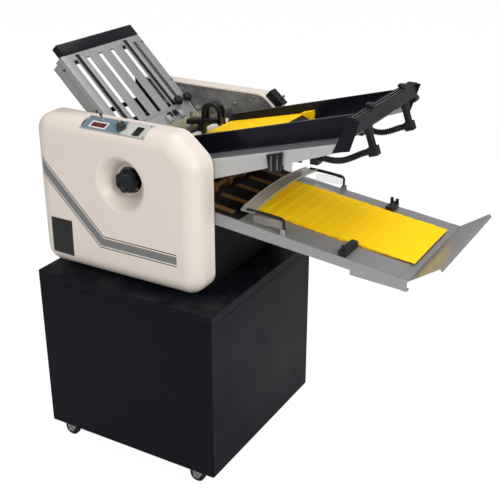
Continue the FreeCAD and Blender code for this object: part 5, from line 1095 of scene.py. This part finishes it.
# delivery guard: an arched clear channel with clear cheeks, carried by two bent black wires
guardLook = {
    "left": 28.0, "right": 70.0, "radius": 1208.5, "centre": (26.0, -332.5), "thick": 3.0, "lip": 6.5, "lipWide": 1.8,
    "near": -170.0, "far": 222.0, "steps": 36, "wireRadius": 4.6, "endRadius": 3.5, "thinSteps": 12, "wireStep": 2.5,
    "wires": (-164.0, 216.0), "eye": (157, 822, 6.2, 2.8),
    "cheek": (64, 150, 828, 850), "cheekThick": 2.0, "cheekCorner": 5.0, "eyeHalf": 3.5,
    "wireRoute": [(44, 861.5), (72, 861), (100, 859.6), (132, 856.8), (150, 855.3), (157.4, 851), (157, 840), (157,
        828)],
}


def makeGuard(values):
    left, right, thick, lip, wide = (values[key] for key in ("left", "right", "thick", "lip", "lipWide"))
    section = [(left, -thick), (right, -thick), (right, lip - thick), (right - wide, lip - thick), (right - wide, 0),
               (left + wide, 0), (left + wide, lip - thick), (left, lip - thick)]
    middle, low = values["centre"]

    def arch(form):
        rings = []
        ends = [math.asin((side - middle) / values["radius"]) for side in (values["near"], values["far"])]
        for number in range(values["steps"] + 1):
            turn = ends[0] + (ends[1] - ends[0]) * number / values["steps"]
            reach = [(x, values["radius"] + up) for x, up in section]
            rings.append([at(x, middle + r * math.sin(turn), low + r * math.cos(turn)) for x, r in reach])
        skinRings(form, rings)

    makePiece("guardArch", arch, "clearGuard", "delivery_guard", ["delivery_guard"], smooth=40)

    def cheeks(form):
        for y in values["wires"]:
            lowX, highX, lowZ, highZ = values["cheek"]
            outline = rounded(lowX, highX, lowZ, highZ, values["cheekCorner"])
            half = values["cheekThick"] / 2
            prism(form, outline, y - half, y + half, "Y")

    makePiece("guardCheeks", cheeks, "clearCheek", "delivery_guard", ["delivery_guard"])

    def wireForm(form):
        for y in values["wires"]:
            spots, _ = splinePoints([(x, y, z) for x, z in values["wireRoute"]], values["wireStep"])
            thinFrom = len(spots) - values["thinSteps"]
            tube(form, spots, lambda number: values["wireRadius" if number < thinFrom else "endRadius"], 16)
            x, z, outer, inner = values["eye"]
            circle = [2 * math.pi * number / 24 for number in range(24)]
            rim = [(x + outer * math.cos(turn), z + outer * math.sin(turn)) for turn in circle]
            hole = [(x + inner * math.cos(turn), z + inner * math.sin(turn)) for turn in circle]
            holedPlate(form, rim, hole, y - values["eyeHalf"], y + values["eyeHalf"], "Y")

    makePiece("guardWires", wireForm, "knobBlack", "delivery_guard", ["delivery_guard"], smooth=40)


makeGuard(guardLook)
print("trims and guard made")

# stripes and the bare plate on the front cover: thin films laid on its moulded face
filmLook = {
    "proud": 0.3, "sink": 0.2, "left": -580.0, "right": -119.0, "corner": (-368.5, 732.3), "fall": 1.5,
    "slope": (-0.7118, 0.7024), "mitre": (-0.4136, -0.9975),
    "bands": (("stripeTop", "stripeDark", 0.0, 2.8), ("stripeMiddle", "stripeGrey", 6.8, 30.4),
              ("stripeBottom", "stripeDark", 34.6, 37.4)),
    "plate": ((-561, 756), (-484, 756), (-485.5, 643.5), (-562, 646)),
}
coverTree = BVHTree.FromPolygons(
    [vertex.co for vertex in nodes["front_cover"].data.vertices],
    [polygon.vertices for polygon in nodes["front_cover"].data.polygons])


def onCover(x, z, proud):
    spot, normal, _, _ = coverTree.ray_cast(Vector((x * mm, -0.6, z * mm)), Vector((0, 1, 0)))
    return spot + normal * (proud * mm) if normal.y < 0 else spot - normal * (proud * mm)


def bandPoint(along, offset, values):
    cornerX, cornerZ = values["corner"]
    x, z = cornerX + values["mitre"][0] * offset, cornerZ + values["mitre"][1] * offset
    if along < 0.5:
        run = (values["left"] - x) / values["slope"][0]
        back = run * (1 - along * 2)
        return x + values["slope"][0] * back, z + values["slope"][1] * back
    share = (along - 0.5) * 2
    return x + (values["right"] - x) * share, z - values["fall"] * share


def makeCoverFilms(values):
    for name, finishName, low, high in values["bands"]:

        def rule(u, v, side):
            return onCover(*bandPoint(u, low + v * (high - low), values),
                values["proud"] if side else -values["sink"])

        makePiece(name, lambda form: slab(form, rule, 120, 2), finishName, "machine", smooth=30)

    def plateRule(u, v, side):
        a, b, c, d = (Vector(point) for point in values["plate"])
        spot = a.lerp(b, u).lerp(d.lerp(c, u), v)
        return onCover(spot.x, spot.y, 1.0 if side else -values["sink"])

    makePiece("coverPlate", lambda form: slab(form, plateRule, 14, 14), "switchBlack", "machine", smooth=30)


makeCoverFilms(filmLook)
print("cover films laid")

# inside: delivery belts on a black sheet painted as the shade on the tray, a black sheet painted as the shade behind
# the fold plate, frame screws, and the separator as a bracket of two cast arches
innerLook = {
    "shadeBed": (-270, 22), "shadeBedSpan": (-172, 222), "shadeBedThick": 0.7, "belts": (-140, -62, 26, 102, 180), "beltWide": 22,
    "beltLeft": -100, "beltRight": -12, "beltNose": 2, "beltHeights": (0.2, 0.8, 1.8),
    "rearShade": [(-603, 650), (-500, 650), (-500, 1000), (-560, 1062), (-603, 1062)], "rearShadeSpan": (225.5, 228.5),
    "screws": ((-218, 1052.6), (-228.9, 1022.7), (-164.8, 1050.4)), "screwFace": 233, "screwRadius": 5.2,
}


def makeInside(values):
    # black sheet on the tray floor: painted shade
    def shadeBed(form):
        left, right = values["shadeBed"]
        thick = values["shadeBedThick"]
        prism(form, [onTray(left), onTray(right), onTray(right, thick), onTray(left, thick)], *values["shadeBedSpan"], "Y")

    makePiece("deliveryShadeSheet", shadeBed, "innerBlackAndShade", "machine")

    # black sheet behind the fold plate, painted as the shade there
    def rearShade(form):
        prism(form, values["rearShade"], *values["rearShadeSpan"], "Y")

    makePiece("rearShadeSheet", rearShade, "innerBlackAndShade", "machine")

    def belts(form):
        left, right, (low, middleUp, high) = values["beltLeft"], values["beltRight"], values["beltHeights"]
        outline = [onTray(left, low), onTray(right, low), onTray(right + values["beltNose"], middleUp),
                   onTray(right, high), onTray(left, high)]
        for middle in values["belts"]:
            prism(form, outline, middle - values["beltWide"] / 2, middle + values["beltWide"] / 2, "Y")

    makePiece("deliveryBelts", belts, "feedTyre", "machine")

    def screws(form):
        for x, z in values["screws"]:
            screw(form, Matrix.Translation(at(x, values["screwFace"], z)) @ frontFacing, values["screwRadius"])

    makePiece("frameScrews", screws, "screwSteel", "machine", smooth=40)


makeInside(innerLook)

armLook = {
    "middle": (-178, 1051), "outer": 33.0, "inner": 21.0, "near": 12.0, "far": 40.0, "plate": 7.0, "foot": 1019.0,
    "beam": [(-264, 1007.3), (-146, 1026), (-146, 1041), (-264, 1022.3)], "post": (-228, -206, 948, 1016,
        3), "postIn": 5,
}


def makeSeparatorArm(values):
    x, z = values["middle"]
    outer, inner, foot = values["outer"], values["inner"], values["foot"]
    turns = [math.radians(180 * number / 20) for number in range(21)]

    def arches(form):
        outside = [(x + outer, foot)] + [(x + outer * math.cos(turn), z + outer * math.sin(turn)) for turn in turns]
        outside += [(x - outer, foot + 8)]
        inside = [(x - inner, foot + 10)] + [(x + inner * math.cos(turn),
            z + inner * math.sin(turn)) for turn in turns[::-1]]
        inside += [(x + inner, foot)]
        for near in (values["near"], values["far"] - values["plate"]):
            prism(form, outside + inside, near, near + values["plate"], "Y")
        bridge = [(x + (outer - 1) * math.cos(turn), z + (outer - 1) * math.sin(turn)) for turn in turns[5:16]]
        bridge += [(x + (inner + 4) * math.cos(turn), z + (inner + 4) * math.sin(turn)) for turn in turns[5:16][::-1]]
        prism(form, bridge, values["near"] + 1, values["far"] - 1, "Y")

    makePiece("separatorArch", arches, "knobBlack", "separator_arm", ["separator_arm"], soft=1.4)

    def beam(form):
        near, far, inward = values["near"], values["far"], values["postIn"]
        prism(form, values["beam"], near, far, "Y")
        prism(form, rounded(*values["post"]), near + inward, far - inward, "Y")

    makePiece("separatorBeam", beam, "knobBlack", "separator_arm", ["separator_arm"], soft=1.4)


makeSeparatorArm(armLook)
print("inner parts made")

# floor, world and lamps
stageLook = {"floorSize": 60.0, "floorColour": (0.86, 0.86, 0.86), "whiteShare": 0.9, "worldLight": 0.37,
    "whiteStrength": 1.06}


def makeStage(values):
    half = values["floorSize"] / 2
    mesh = bpy.data.meshes.new("floor")
    mesh.from_pydata([(-half, -half, 0), (half, -half, 0), (half, half, 0), (-half, half, 0)], [], [(0, 1, 2, 3)])
    floor = bpy.data.objects.new("floor", mesh)
    bpy.context.scene.collection.objects.link(floor)
    material = bpy.data.materials.new("floorPaper")
    material.use_nodes = True
    tree = material.node_tree
    shader = tree.nodes["Principled BSDF"]
    shader.inputs["Base Color"].default_value = opaque(values["floorColour"])
    shader.inputs["Roughness"].default_value = 0.9
    rays = wire(tree, "LightPath").outputs
    seen = maths(tree, "MAXIMUM", rays["Is Camera Ray"], rays["Is Transmission Ray"])
    white = wire(tree, "Emission", {"Color": (1, 1, 1, 1), "Strength": values["whiteStrength"]})
    mix = wire(tree, "MixShader", {0: maths(tree, "MULTIPLY", seen, values["whiteShare"])})
    tree.links.new(shader.outputs[0], mix.inputs[1])
    tree.links.new(white.outputs[0], mix.inputs[2])
    tree.links.new(mix.outputs[0], tree.nodes["Material Output"].inputs["Surface"])
    mesh.materials.append(material)

    world = bpy.data.worlds.new("studio")
    bpy.context.scene.world = world
    world.use_nodes = True
    tree = world.node_tree
    rays = wire(tree, "LightPath").outputs
    seen = maths(tree, "MAXIMUM", rays["Is Camera Ray"], rays["Is Transmission Ray"])
    background = tree.nodes["Background"]
    background.inputs["Color"].default_value = (1, 1, 1, 1)
    tree.links.new(ramp(tree, seen, 0.0, 1.0, values["worldLight"], 1.0), background.inputs["Strength"])


makeStage(stageLook)
bpy.context.scene.view_settings.view_transform = "Standard"

lamps = {
    "keyLamp": {"place": (3.4, -1.6, 3.0), "size": 2.2, "power": 118.0},
    "frontLamp": {"place": (-1.4, -3.6, 2.6), "size": 2.6, "power": 44.0},
    "topLamp": {"place": (0.2, 0.8, 4.2), "size": 2.6, "power": 72.0},
}
aim = Vector((0.0, 0.0, 0.75))
for name, values in lamps.items():
    data = bpy.data.lights.new(name, "AREA")
    data.energy, data.size = values["power"], values["size"]
    lamp = bpy.data.objects.new(name, data)
    lamp.location = values["place"]
    lamp.rotation_euler = (aim - lamp.location).to_track_quat("-Z", "Y").to_euler()
    bpy.context.scene.collection.objects.link(lamp)
print("stage and lamps ready")
